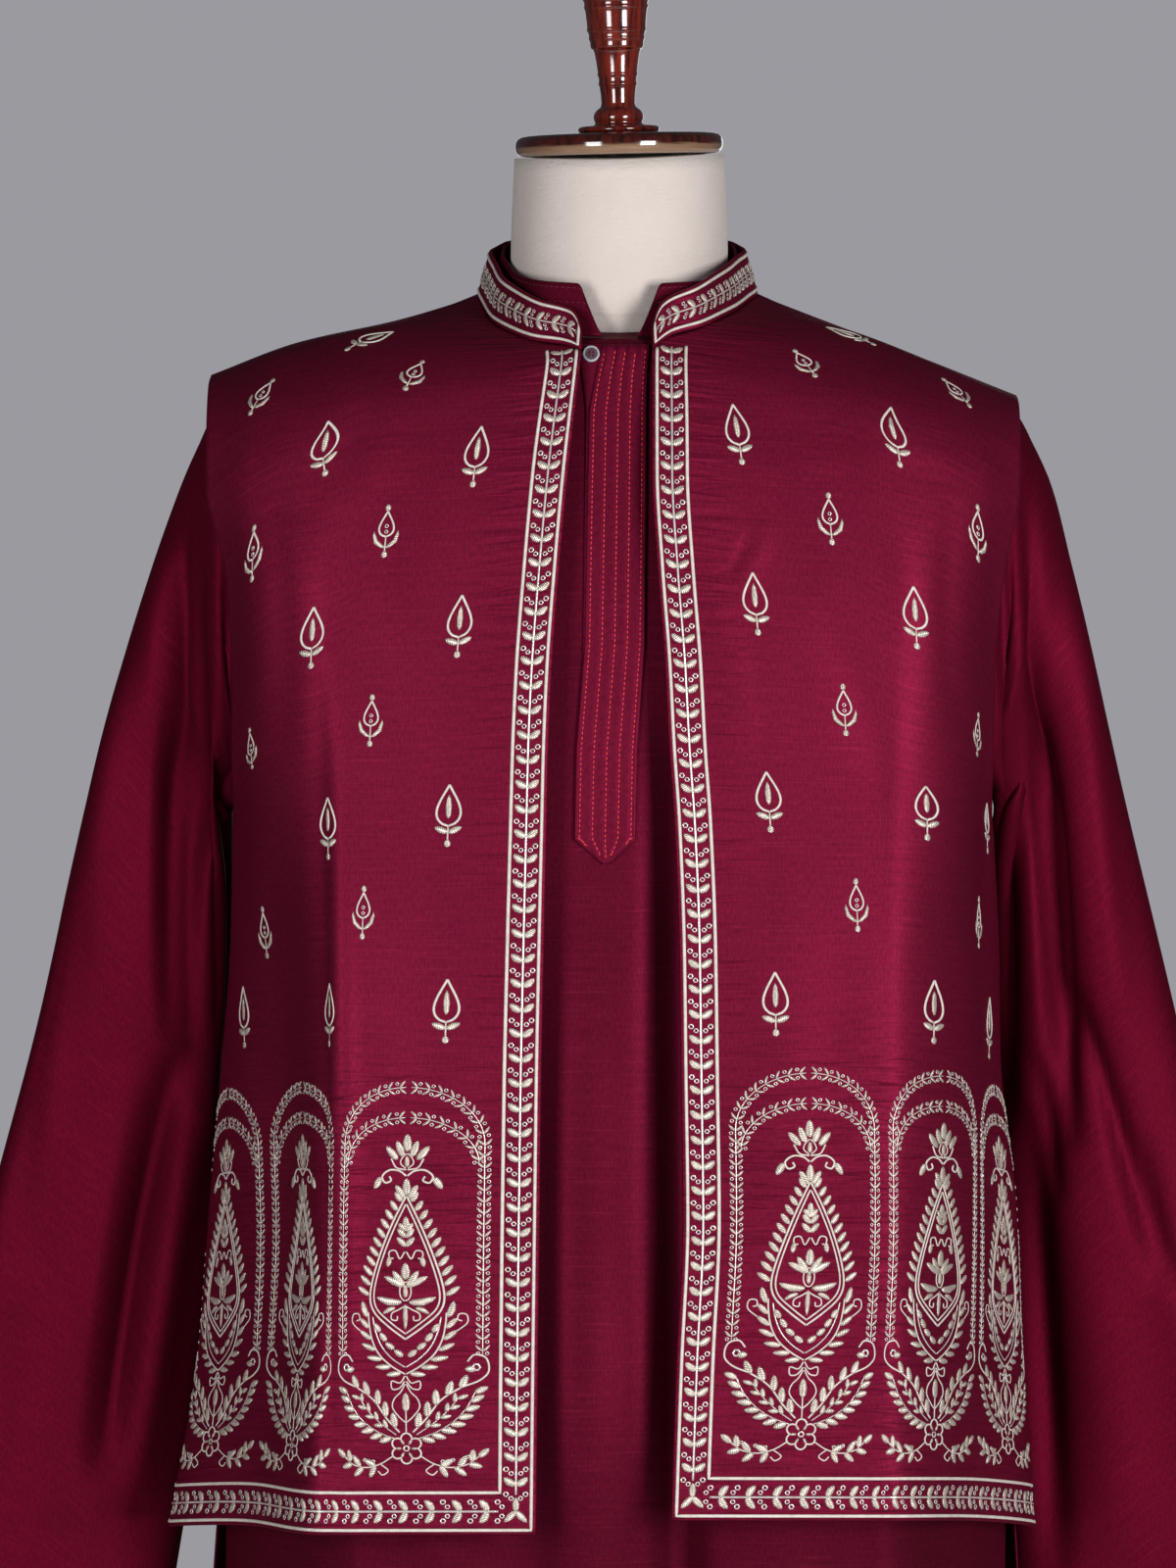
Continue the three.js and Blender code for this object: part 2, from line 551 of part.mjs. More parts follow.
const jacketBand = collarGrid(necklineOf(jacketNets), jacketCollar, 30, 3);
addPiece('jacket_collar', thicken(sheetOf([{ grid: jacketBand }]), collarCloth), silk);

// Kurta body
const shotSilk = material(colours.kurta, 0.45);
const kurtaNets = {
  frontLeft: kurtaNet(kurtaFront, -1),
  frontRight: kurtaNet(kurtaFront, 1),
  backLeft: kurtaNet(kurtaBack, -1),
  backRight: kurtaNet(kurtaBack, 1),
};

// How far a kurta front point is moved forward by the hanging folds.
function foldAt(x, z) {
  return kurtaFolds.reduce((sum, fold) => {
    const spread = (x - fold.x) / fold.wide;
    const rise = THREE.MathUtils.clamp((fold.to - z) / (fold.to - fold.from), 0, 1);
    return sum + fold.deep * Math.exp(-spread * spread) * rise ** 1.3;
  }, 0);
}

const kurtaColumns = 10;
const kurtaFrontGrids = ['frontLeft', 'frontRight'].map((half) => {
  const grid = gridOf(kurtaNets[half], kurtaColumns, rowsOf.front);
  grid.forEach((row) => row.forEach((p) => {
    p.y -= foldAt(p.x, p.z);
  }));
  return { grid, turned: half === 'frontLeft' };
});
panel('kurta_front', kurtaFrontGrids, kurtaCloth, shotSilk);
panel(
  'kurta_back',
  [
    { grid: gridOf(kurtaNets.backLeft, kurtaColumns - 2, rowsOf.back), turned: false },
    { grid: gridOf(kurtaNets.backRight, kurtaColumns - 2, rowsOf.back), turned: true },
  ],
  kurtaCloth, shotSilk,
);

const kurtaNeckline = necklineOf(kurtaNets);

function kurtaCollarPiece() {
  const length = kurtaNeckline.slice(1).reduce((sum, p, i) => sum + p.distanceTo(kurtaNeckline[i]), 0);
  const start = kurtaCollar.setBack / length;
  const open = evenly(24, start, 1 - start).map((share) => pointAlong(kurtaNeckline, share));
  const band = collarGrid(open, kurtaCollar, 26, 3);
  addPiece('kurta_collar', thicken(sheetOf([{ grid: band }]), kurtaCollarCloth), shotSilk);
}

kurtaCollarPiece();

// The kurta front's own surface at a place x across and z up, between two of its rows.
function kurtaRowsAt(x, z) {
  const { grid } = kurtaFrontGrids[x < 0 ? 0 : 1];
  const onRow = (row) => {
    const after = Math.max(1, row.findIndex((p) => Math.abs(p.x) >= Math.abs(x)));
    const [a, b] = [row[after - 1], row[after]];
    return a.clone().lerp(b, (x - a.x) / (b.x - a.x));
  };
  const neck = grid.length - rowsOf.front[3];
  const marks = grid.slice(0, neck).map(onRow);
  const above = THREE.MathUtils.clamp(marks.findIndex((p) => p.z > z), 1, marks.length - 1);
  const top = marks[marks.length - 1].z < z ? marks.length - 1 : above;
  return [marks[top - 1], marks[top]];
}

function onKurtaFront(x, z) {
  const [low, high] = kurtaRowsAt(x, z);
  return low.clone().lerp(high, (z - low.z) / (high.z - low.z));
}

function kurtaNormal(x, z) {
  const [low, high] = kurtaRowsAt(x, z);
  const up = high.clone().sub(low);
  return new THREE.Vector3(0, -up.z, up.y).normalize();
}

// A placket strip lies on the kurta front, lifted off it. It has a row wherever the front has one.
function placketGrid(strip, lift) {
  const upwards = [...strip].reverse();
  const knots = upwards.map((row) => row.z);
  const [low, shoulder] = knots;
  const high = knots[knots.length - 1];
  const frontRows = kurtaFrontGrids[0].grid.map((row) => row[0].z);
  const between = frontRows.filter((z) => z > shoulder + 2 && z < high - 2);
  return [low, shoulder, ...between, high].map((z) => {
    const left = smoothThrough(knots, upwards.map((row) => row.left), z);
    const right = smoothThrough(knots, upwards.map((row) => row.right), z);
    return evenly(4, left, right).map((x) => onKurtaFront(x, z).addScaledVector(kurtaNormal(x, z), lift));
  });
}

const underLift = kurtaCloth / 2 + seam + stripCloth / 2;
const placketLift = underLift + stripCloth + seam;
const underStrip = sheetOf([{ grid: placketGrid(underPlacket, underLift) }]);
addPiece('kurta_underplacket', thicken(underStrip, stripCloth), shotSilk);
const placketStrip = sheetOf([{ grid: placketGrid(placket, placketLift) }]);
addPiece('kurta_placket', thicken(placketStrip, stripCloth), shotSilk);

// Sleeves: the first ring is the armhole's own edge, moved out by the seam.
function armholeLoop(side, count) {
  const front = side < 0 ? kurtaNets.frontLeft : kurtaNets.frontRight;
  const back = side < 0 ? kurtaNets.backLeft : kurtaNets.backRight;
  const half = count / 2;
  const edge = (net, part) => {
    const low = kurtaUnderarm / (net.columns[0].length - 1);
    return netPoint(net, 1, 1 - part * (1 - low));
  };
  return Array.from({ length: count }, (_, i) => {
    const point = i <= half ? edge(front, i / half) : edge(back, (count - i) / half);
    point.x += side * armholeStep;
    return point;
  });
}

function ringPoint(rows, at, turn) {
  const knots = rows.map((_, i) => i);
  const value = (read) => smoothThrough(knots, rows.map(read), at * (rows.length - 1));
  const outer = new THREE.Vector3(value((r) => r.out[0]), value((r) => r.mid), value((r) => r.out[1]));
  const inner = new THREE.Vector3(value((r) => r.in[0]), value((r) => r.mid), value((r) => r.in[1]));
  const deep = value((r) => r.deep);
  const middle = outer.clone().add(inner).multiplyScalar(0.5);
  const point = middle.clone().add(outer.sub(middle).multiplyScalar(Math.cos(turn)));
  const bulge = Math.sign(Math.sin(turn)) * Math.abs(Math.sin(turn)) ** 0.75;
  point.y += value((r) => r.back) * (1 - Math.cos(turn)) / 2 - deep * bulge;
  return { point, middle };
}

function sleeveFold(folds, degrees, along) {
  return folds.reduce((sum, fold) => {
    const spread = (degrees - fold.around) / fold.wide;
    const span = THREE.MathUtils.clamp((along - fold.from) / (fold.to - fold.from), 0, 1);
    return sum + fold.deep * Math.exp(-spread * spread) * Math.sin(Math.PI * span) ** 0.8;
  }, 0);
}

function sleevePiece(name, rows, folds, side) {
  const around = 20;
  const rings = [armholeLoop(side, around)];
  evenly(13).forEach((at) => {
    rings.push(Array.from({ length: around }, (_, i) => {
      const turn = 2 * Math.PI * i / around;
      const { point, middle } = ringPoint(rows, at, turn);
      const outward = point.clone().sub(middle).normalize();
      return point.addScaledVector(outward, sleeveFold(folds, 360 * i / around, at));
    }));
  });
  const sheet = sheetOf([{ grid: rings, turned: side > 0, closed: true }]);
  addPiece(name, thicken(sheet, kurtaCloth), shotSilk);
}

sleevePiece('kurta_sleeve_left', sleeveLeft, sleeveFolds.left, -1);
sleevePiece('kurta_sleeve_right', sleeveRight, sleeveFolds.right, 1);

// Button: a turned disc with a raised rim and four holes, sewn to the under placket.
function solidOf(geometry) {
  const plain = geometry.clone();
  plain.deleteAttribute('normal');
  plain.deleteAttribute('uv');
  const merged = mergeVertices(plain, 1e-4);
  return new wasm.Manifold(new wasm.Mesh({
    numProp: 3,
    vertProperties: new Float32Array(merged.attributes.position.array),
    triVerts: new Uint32Array(merged.index.array),
  }));
}

function geometryOf(solid) {
  const mesh = solid.getMesh();
  const geometry = new THREE.BufferGeometry();
  geometry.setAttribute('position', new THREE.BufferAttribute(mesh.vertProperties, 3));
  geometry.setIndex(new THREE.BufferAttribute(mesh.triVerts, 1));
  return geometry;
}

function buttonPiece() {
  const radius = button.across / 2;
  const profile = [
    [0, 0], [radius - 0.8, 0], [radius, 0.8], [radius, button.thick - 0.5], [radius - 0.5, button.thick],
    [radius - 1, button.thick], [radius - 1.6, button.thick - 0.8], [0, button.thick - 0.8],
  ].map(([r, z]) => new THREE.Vector2(r, z));
  let solid = solidOf(new THREE.LatheGeometry(profile, 28));
  [45, 135, 225, 315].forEach((degrees) => {
    const angle = THREE.MathUtils.degToRad(degrees);
    const hole = new THREE.CylinderGeometry(button.hole / 2, button.hole / 2, 4 * button.thick, 10);
    hole.translate(button.holeRing * Math.cos(angle), 0, button.holeRing * Math.sin(angle));
    solid = solid.subtract(solidOf(hole));
  });
  const normal = kurtaNormal(button.x, button.z);
  const lift = underLift + stripCloth / 2 + seam;
  const mesh = addPiece('kurta_button', geometryOf(solid), material(colours.button, 0.2));
  mesh.position.copy(onKurtaFront(button.x, button.z).addScaledVector(normal, lift));
  mesh.quaternion.setFromUnitVectors(new THREE.Vector3(0, 1, 0), normal);
}

buttonPiece();

const capTilt = new THREE.Euler(
  THREE.MathUtils.degToRad(neckCap.tiltFront),
  THREE.MathUtils.degToRad(neckCap.tiltSide),
  0,
);

// Dress form, closed top and bottom. Its top edge leans with the cap and dips at the front.
function torsoPiece() {
  const around = 40;
  const ringAt = (level) => Array.from({ length: around }, (_, i) => {
    const turn = 2 * Math.PI * i / around;
    const squared = (v) => Math.sign(v) * Math.abs(v) ** (2 / level.power);
    const deep = (level.back - level.front) / 2;
    return new THREE.Vector3(
      level.wide * squared(Math.cos(turn)),
      level.front + deep + deep * squared(Math.sin(turn)),
      level.z,
    );
  });
  const rings = torso.map(ringAt);
  const top = rings.length - 1;
  const seat = new THREE.Vector3(0, neckMiddleY, torso[top].z);
  rings[top].forEach((p, i) => {
    const toFront = Math.max(0, -Math.sin(2 * Math.PI * i / around));
    p.sub(seat).applyEuler(capTilt).add(seat);
    p.z -= neckCap.frontDip * toFront ** 2;
  });
  const points = rings.flat();
  const faces = [];
  rings.slice(1).forEach((_, row) => {
    for (let i = 0; i < around; i++) {
      const next = (i + 1) % around;
      const [a, b] = [row * around + i, row * around + next];
      faces.push([a, b, b + around], [a, b + around, a + around]);
    }
  });
  const { front, back, z } = torso[0];
  const bottomCentre = points.push(new THREE.Vector3(0, (front + back) / 2, z)) - 1;
  const topCentre = points.push(seat) - 1;
  for (let i = 0; i < around; i++) {
    const next = (i + 1) % around;
    faces.push([bottomCentre, next, i], [topCentre, top * around + i, top * around + next]);
  }
  addPiece('form_torso', geometryFrom(points, faces), material(colours.form, 0.9));
}

torsoPiece();

// Turned wood: profiles are [radius, height] up one side, from axis to axis.
function turned(name, profile, steps, finish) {
  const geometry = new THREE.LatheGeometry(profile.map(([r, z]) => new THREE.Vector2(r, z)), steps);
  geometry.rotateX(Math.PI / 2);
  return addPiece(name, geometry, finish);
}

// A rounded corner of a profile, from one angle to another about its own centre.
function roundedCorner(radius, centreZ, edge, from, to) {
  return evenly(4, from, to).map((degrees) => {
    const angle = THREE.MathUtils.degToRad(degrees);
    return [radius - edge + edge * Math.cos(angle), centreZ + edge * Math.sin(angle)];
  });
}

const lacquer = material(colours.wood, 0.2);
const capSeat = new THREE.Vector3(0, neckMiddleY, neckCap.z);
const capTop = neckCap.thick + neckCap.crown;
const capProfile = [
  [0, 0],
  ...roundedCorner(neckCap.across / 2, neckCap.edge, neckCap.edge, -90, 0),
  ...roundedCorner(neckCap.across / 2, neckCap.thick - neckCap.edge, neckCap.edge, 0, 90),
  [neckCap.seatAcross / 2, capTop], [0, capTop],
];
const cap = turned('form_neck_cap', capProfile, 40, lacquer);
cap.position.copy(capSeat);
cap.rotation.copy(capTilt);
const finial = turned('form_finial', finialProfile, 24, lacquer);
finial.rotation.copy(capTilt);
finial.position.copy(new THREE.Vector3(0, 0, capTop + seam).applyEuler(capTilt).add(capSeat));

const collarTop = base.thick + pole.collarTall;
const poleProfile = [
  [0, base.thick + seam], [pole.collarAcross / 2, base.thick + seam],
  [pole.collarAcross / 2, collarTop - pole.collarBevel],
  [pole.collarAcross / 2 - pole.collarBevel, collarTop],
  [pole.across / 2, collarTop + pole.collarCone],
  [pole.across / 2, torsoBottom - seam], [0, torsoBottom - seam],
];
turned('stand_pole', poleProfile, 28, material(colours.base, 0.3));
const baseProfile = [
  [0, 0], [base.across / 2 - base.footBevel, 0], [base.across / 2, base.footBevel],
  ...roundedCorner(base.across / 2, base.thick - base.edge, base.edge, 0, 90), [0, base.thick],
];
turned('stand_base', baseProfile, 56, material(colours.base, 0.3));

export default garment;
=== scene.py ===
"""A sleeveless band-collar jacket worn open over a long shirt (kurta), on a limbless dress form with
a turned wooden top, a pole and a round base. Sizes are in millimetres and become metres in meshes."""

import bpy
import numpy as np
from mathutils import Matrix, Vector


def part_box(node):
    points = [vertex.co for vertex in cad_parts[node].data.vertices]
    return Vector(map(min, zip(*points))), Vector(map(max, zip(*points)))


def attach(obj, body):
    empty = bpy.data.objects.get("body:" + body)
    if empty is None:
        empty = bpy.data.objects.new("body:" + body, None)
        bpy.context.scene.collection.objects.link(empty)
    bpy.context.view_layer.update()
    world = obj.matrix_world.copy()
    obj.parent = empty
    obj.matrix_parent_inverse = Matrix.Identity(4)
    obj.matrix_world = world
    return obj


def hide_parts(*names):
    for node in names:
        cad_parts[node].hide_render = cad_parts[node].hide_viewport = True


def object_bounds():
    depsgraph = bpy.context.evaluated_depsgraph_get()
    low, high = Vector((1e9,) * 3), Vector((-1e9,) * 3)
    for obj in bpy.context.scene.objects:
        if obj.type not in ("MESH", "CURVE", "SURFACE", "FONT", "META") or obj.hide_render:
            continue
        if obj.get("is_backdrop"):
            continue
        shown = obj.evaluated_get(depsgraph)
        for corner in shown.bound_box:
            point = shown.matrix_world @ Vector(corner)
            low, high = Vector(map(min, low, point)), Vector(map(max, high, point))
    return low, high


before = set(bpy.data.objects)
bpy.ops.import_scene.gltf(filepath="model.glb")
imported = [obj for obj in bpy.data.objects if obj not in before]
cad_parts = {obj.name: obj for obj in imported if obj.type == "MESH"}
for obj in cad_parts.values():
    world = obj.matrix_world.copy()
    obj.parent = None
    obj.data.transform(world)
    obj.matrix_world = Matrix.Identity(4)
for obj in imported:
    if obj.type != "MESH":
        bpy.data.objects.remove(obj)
cad_low, cad_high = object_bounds()

MM = 0.001


# ---- Camera, studio floor and lights -------------------------------------------------------------
# A long lens level with the chest, four metres away. Two tall soft boxes stand low on either side of
# it, so cloth that faces forward is bright and shoulder tops and flanks fall away into shade.
def linear(hex_code):
    """An sRGB hex colour turned into linear red, green, blue, with alpha 1."""
    srgb = np.array([int(hex_code[i:i + 2], 16) for i in (1, 3, 5)]) / 255
    rgb = np.where(srgb <= 0.04045, srgb / 12.92, ((srgb + 0.055) / 1.055) ** 2.4)
    return (*[float(c) for c in rgb], 1.0)


def add_node(tree, kind, inputs=None, **settings):
    """Adds a shader node with its settings; an input given a socket is linked, a value is set."""
    node = tree.nodes.new(kind)
    for name, value in settings.items():
        setattr(node, name, value)
    for name, value in (inputs or {}).items():
        if isinstance(value, bpy.types.NodeSocket):
            tree.links.new(value, node.inputs[name])
        else:
            node.inputs[name].default_value = value
    return node


def empty_tree(owner):
    """The owner's node tree, with nothing in it."""
    owner.use_nodes = True
    owner.node_tree.nodes.clear()
    return owner.node_tree


def surface_material(name, shade):
    """A material whose Principled shader takes the inputs that shade(tree) returns."""
    finish = bpy.data.materials.new(name)
    tree = empty_tree(finish)
    shader = add_node(tree, "ShaderNodeBsdfPrincipled", shade(tree))
    add_node(tree, "ShaderNodeOutputMaterial", {"Surface": shader.outputs["BSDF"]})
    return finish


view_from = np.array([-18.2, -4000.0, 1250.0])
frame_middle_z = 1166.7
frame_tall = 912.0
lens_data = bpy.data.cameras.new("camera")
lens_data.lens = 36 * -view_from[1] / frame_tall
lens_data.shift_y = (frame_middle_z - view_from[2]) / frame_tall
camera = bpy.data.objects.new("camera", lens_data)
camera.location = view_from * MM
camera.rotation_euler = (np.pi / 2, 0, 0)
bpy.context.collection.objects.link(camera)
bpy.context.scene.camera = camera
bpy.context.scene.view_settings.view_transform = "Standard"

studio = bpy.data.worlds.new("studio")
bpy.context.scene.world = studio
world_tree = empty_tree(studio)
seen = add_node(world_tree, "ShaderNodeLightPath")
backdrop = add_node(world_tree, "ShaderNodeBackground", {"Color": linear("#9b9aa0"), "Strength": 1.0})
room = add_node(world_tree, "ShaderNodeBackground", {"Color": linear("#a6a6ae"), "Strength": 0.14})
either = add_node(world_tree, "ShaderNodeMixShader", {
    0: seen.outputs["Is Camera Ray"], 1: room.outputs[0], 2: backdrop.outputs[0],
})
add_node(world_tree, "ShaderNodeOutputWorld", {"Surface": either.outputs[0]})


def soft_box(name, place, aim, size, watts):
    """A rectangular area light at place, turned to face aim, both in millimetres."""
    data = bpy.data.lights.new(name, "AREA")
    data.shape = "RECTANGLE"
    data.size, data.size_y = size[0] * MM, size[1] * MM
    data.energy = watts
    box = bpy.data.objects.new(name, data)
    box.location = np.array(place) * MM
    box.rotation_euler = (Vector(aim) - Vector(place)).to_track_quat("-Z", "Y").to_euler()
    bpy.context.collection.objects.link(box)


soft_box("soft_box_left", (-1500, -2750, 1200), (0, 0, 1150), (900, 1300), 43)
soft_box("soft_box_right", (1650, -2650, 1200), (0, 0, 1150), (900, 1300), 74)
soft_box("soft_box_back", (300, 2700, 1300), (0, 0, 1000), (1300, 1300), 5)


def mesh_piece(name, points, faces, finish, uv=None):
    """A smooth-shaded mesh object from points in millimetres. faces is a list of arrays of quads or
    triangles, and uv has a place in metres for each point."""
    corners = np.concatenate([f.ravel() for f in faces]).astype(np.int32)
    sizes = np.concatenate([np.full(len(f), f.shape[1]) for f in faces])
    starts = np.concatenate([[0], np.cumsum(sizes)[:-1]]).astype(np.int32)
    mesh = bpy.data.meshes.new(name)
    mesh.vertices.add(len(points))
    mesh.vertices.foreach_set("co", (np.asarray(points) * MM).astype(np.float32).ravel())
    mesh.loops.add(len(corners))
    mesh.loops.foreach_set("vertex_index", corners)
    mesh.polygons.add(len(sizes))
    mesh.polygons.foreach_set("loop_start", starts)
    mesh.polygons.foreach_set("use_smooth", np.ones(len(sizes), bool))
    if uv is not None:
        layer = mesh.uv_layers.new(name="cloth")
        layer.data.foreach_set("uv", np.asarray(uv, np.float32)[corners].ravel())
    mesh.update(calc_edges=True)
    mesh.materials.append(finish)
    piece = bpy.data.objects.new(name, mesh)
    bpy.context.collection.objects.link(piece)
    return piece


def grid_quads(rows, columns, wrap=False):
    """The quads of a grid of points numbered row by row; wrap joins the last column to the first."""
    number = np.arange(rows * columns).reshape(rows, columns)
    if wrap:
        number = np.hstack([number, number[:, :1]])
    quads = np.stack([number[:-1, :-1], number[:-1, 1:], number[1:, 1:], number[1:, :-1]], -1)
    return quads.reshape(-1, 4)


def object_noise(tree, scale, detail=2.0, twist=0.0):
    """Noise in the piece's own coordinates, with about scale patches a metre along X, Y and Z."""
    place = add_node(tree, "ShaderNodeTexCoord")
    scaled = add_node(tree, "ShaderNodeMapping", {"Vector": place.outputs["Object"], "Scale": scale})
    noise = add_node(tree, "ShaderNodeTexNoise", {
        "Vector": scaled.outputs["Vector"], "Scale": 1.0, "Detail": detail, "Distortion": twist,
    })
    return noise.outputs["Fac"]


def between(tree, share, first, second):
    """The colour a share of the way between two, each an sRGB hex code or a socket."""
    first, second = [linear(c) if isinstance(c, str) else c for c in (first, second)]
    return add_node(tree, "ShaderNodeMix", {0: share, 6: first, 7: second}, data_type="RGBA").outputs[2]


def floor_shade(tree):
    """Matt paint, mottled in patches 300 mm across."""
    mottle = object_noise(tree, (3, 3, 3))
    return {"Base Color": between(tree, mottle, "#c3c2c7", "#cbcace"), "Roughness": 0.8}


# The floor stops short of where the main view would see it behind the stand.
floor_radius, floor_rings, floor_steps = 3000.0, 5, 96
ring, turn = np.meshgrid(
    np.linspace(0.001, 1, floor_rings), np.linspace(0, 2 * np.pi, floor_steps, endpoint=False), indexing="ij",
)
floor_points = floor_radius * np.stack([ring * np.cos(turn), ring * np.sin(turn), 0 * ring], -1)
floor = mesh_piece(
    "studio_floor", floor_points.reshape(-1, 3), [grid_quads(floor_rings, floor_steps, wrap=True)],
    surface_material("pale painted floor", floor_shade),
)
floor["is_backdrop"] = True


# ---- Stand: round base and pole -------------------------------------------------------------------
# A turned wooden disc under a steel tube that carries the form, both in dark red-brown. The tube stands
# in a bevelled collar screwed to the disc.
def turned_piece(name, profile, finish, centre=(0, 0, 0), steps=72, soften=2):
    """A solid of revolution: the profile of [radius, height] points, with its corners cut off soften
    times a quarter of the way along each side, is carried round the upright axis through centre."""
    line = np.array(profile, float)
    for _ in range(soften):
        near, far = line[:-1], line[1:]
        cut = np.stack([0.75 * near + 0.25 * far, 0.25 * near + 0.75 * far], 1).reshape(-1, 2)
        line = np.vstack([line[:1], cut[1:-1], line[-1:]])
    angle = np.linspace(0, 2 * np.pi, steps, endpoint=False)
    radius, height = line[1:-1, :1], line[1:-1, 1:]
    walls = np.stack([radius * np.cos(angle), radius * np.sin(angle), height + 0 * angle], -1)
    points = np.vstack([walls.reshape(-1, 3), [[0, 0, line[0, 1]], [0, 0, line[-1, 1]]]]) + centre
    count = len(line) - 2
    this = np.arange(steps)
    following = (this + 1) % steps
    last = (count - 1) * steps
    foot = np.stack([np.full(steps, count * steps), following, this], -1)
    head = np.stack([np.full(steps, count * steps + 1), last + this, last + following], -1)
    return mesh_piece(name, points, [grid_quads(count, steps, wrap=True), foot, head], finish)


def bump(tree, height, strength, distance, under=None):
    """The normal of a surface raised by distance metres at full height, on top of the one under it."""
    inputs = {"Height": height, "Strength": strength, "Distance": distance}
    if under is not None:
        inputs["Normal"] = under
    return add_node(tree, "ShaderNodeBump", inputs).outputs["Normal"]


def lacquered_wood(dark, light, gloss):
    """Shading of stained wood under lacquer: streaks 3 mm wide and 50 mm long, a hard clear coat."""
    def shade(tree):
        grain = object_noise(tree, (330, 330, 19.8), 6.0, 0.4)
        stain = add_node(tree, "ShaderNodeValToRGB", {"Fac": grain})
        for stop, position, colour in zip(stain.color_ramp.elements, (0.36, 0.66), (dark, light)):
            stop.position, stop.color = position, linear(colour)
        return {
            "Base Color": stain.outputs["Color"], "Roughness": gloss,
            "Normal": bump(tree, grain, 0.08, 0.0004), "Coat Weight": 1.0, "Coat Roughness": 0.06,
            "Specular IOR Level": 0.5,
        }
    return shade


def enamel_shade(tree):
    """Baked enamel on steel tube: an even dark film with a slight orange-peel of 2 mm."""
    peel = object_noise(tree, (500, 500, 500))
    return {
        "Base Color": between(tree, peel, "#2c1512", "#35201b"), "Roughness": 0.3,
        "Normal": bump(tree, peel, 0.06, 0.0003),
    }


base_thick, pole_top = 24.0, 739.7
pole_foot = base_thick + 0.3
base_profile = [
    [0, 0], [60, 0], [186, 0], [190, 0], [192, 2], [192, 8], [192, 13], [191, 19], [187.5, 23],
    [182, base_thick], [150, base_thick], [60, base_thick], [0, base_thick],
]
base_wood = surface_material("stained beech, satin lacquer", lacquered_wood("#351813", "#4c241c", 0.35))
stand_base = turned_piece("stand_base_turned", base_profile, base_wood)
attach(stand_base, "root")
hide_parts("stand_base")
pole_profile = [
    [0, pole_foot], [20, pole_foot], [31, pole_foot], [32, pole_foot + 1], [32, pole_foot + 8], [31, 36],
    [28, 38], [16.5, 43.5], [15, 46], [15, 60], [15, 400], [15, 730], [15, pole_top], [10, pole_top],
    [0, pole_top],
]
pole_steel = surface_material("baked enamel on steel", enamel_shade)
stand_pole = turned_piece("stand_pole_tube", pole_profile, pole_steel)
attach(stand_pole, "root")
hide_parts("stand_pole")


# ---- Dress form -----------------------------------------------------------------------------------
# A padded torso from the seat to the neck, closed below, covered in cream knitted jersey stretched
# tight. Only the neck shows above the collars; its top leans a little and dips at the front.
def cubic(t, width, low, low_slope, high, high_slope):
    """The cubic from low to high over width with these slopes at its ends, at share t of the way."""
    return ((2 * t**3 - 3 * t**2 + 1) * low + (t**3 - 2 * t**2 + t) * width * low_slope
            + (3 * t**2 - 2 * t**3) * high + (t**3 - t**2) * width * high_slope)


def smooth_through(knots, values, at, start=1.0, end=1.0):
    """Monotone cubic through values at knots: each inner slope is the weighted harmonic mean of its
    neighbours, or level where they differ in sign. knots is (..., n), values (..., n, axes) and at
    (..., m). start and end scale the slopes at the two ends."""
    lead = values.shape[:-2]
    knots = np.broadcast_to(knots, lead + (values.shape[-2],))
    at = np.broadcast_to(at, lead + np.shape(at)[-1:])
    steps = np.diff(knots)[..., None]
    slopes = np.diff(values, axis=-2) / steps
    before, after = slopes[..., :-1, :], slopes[..., 1:, :]
    heavy = 2 * steps[..., 1:, :] + steps[..., :-1, :]
    light = steps[..., 1:, :] + 2 * steps[..., :-1, :]
    same = before * after > 0
    mean = heavy / np.where(same, before, 1) + light / np.where(same, after, 1)
    inner = np.where(same, (heavy + light) / np.where(same, mean, 1), 0)
    first, last = slopes[..., :1, :], slopes[..., -1:, :]
    tangents = np.concatenate([first * np.reshape(start, np.shape(start)[:-1] + (1, -1)), inner,
                               last * np.reshape(end, np.shape(end)[:-1] + (1, -1))], -2)
    piece = (at[..., :, None] > knots[..., None, 1:-1]).sum(-1)
    low = lambda a: np.take_along_axis(a, piece[..., None], -2)
    high = lambda a: np.take_along_axis(a, piece[..., None] + 1, -2)
    width = low(steps)
    return cubic((at[..., None] - low(knots[..., None])) / width, width, low(values), low(tangents),
                 high(values), high(tangents))


neck_middle_y = -4.0
cap_lean = np.radians([2.8, -1.3])
# Each level of the form: height, half width, front, back, and how squared its outline is.
torso_levels = np.array([
    [740, 150, -84, 90, 2.25], [752, 165, -98, 102, 2.25], [800, 172, -106, 110, 2.25],
    [900, 165, -104, 106, 2.25], [1000, 157, -100, 96, 2.25], [1080, 157, -98, 92, 2.25],
    [1160, 166, -102, 98, 2.25], [1240, 180, -103, 102, 2.2], [1290, 188, -99, 101, 2.2],
    [1330, 195, -90, 94, 2.1], [1360, 199, -78, 84, 2.0], [1380, 196, -68, 74, 1.8],
    [1394, 187, -64, 66, 1.55], [1406, 171, -64, 62, 1.4], [1418, 142, -65, 60, 1.3],
    [1428, 100, -66, 59, 1.35], [1435, 75, -66, 58, 1.6], [1441, 65.5, -66, 58, 1.9],
    [1450, 63.4, -66, 58, 2.0], [1480, 63, -66, 58, 2.0], [1531.5, 61, -66, 58, 2.0],
])
# The clothes cover the form up to this height, so it is drawn in a little.
hidden_below, drawn_in_by = 1436.0, 1.2
lean_from, front_dip = 1470.0, 3.6


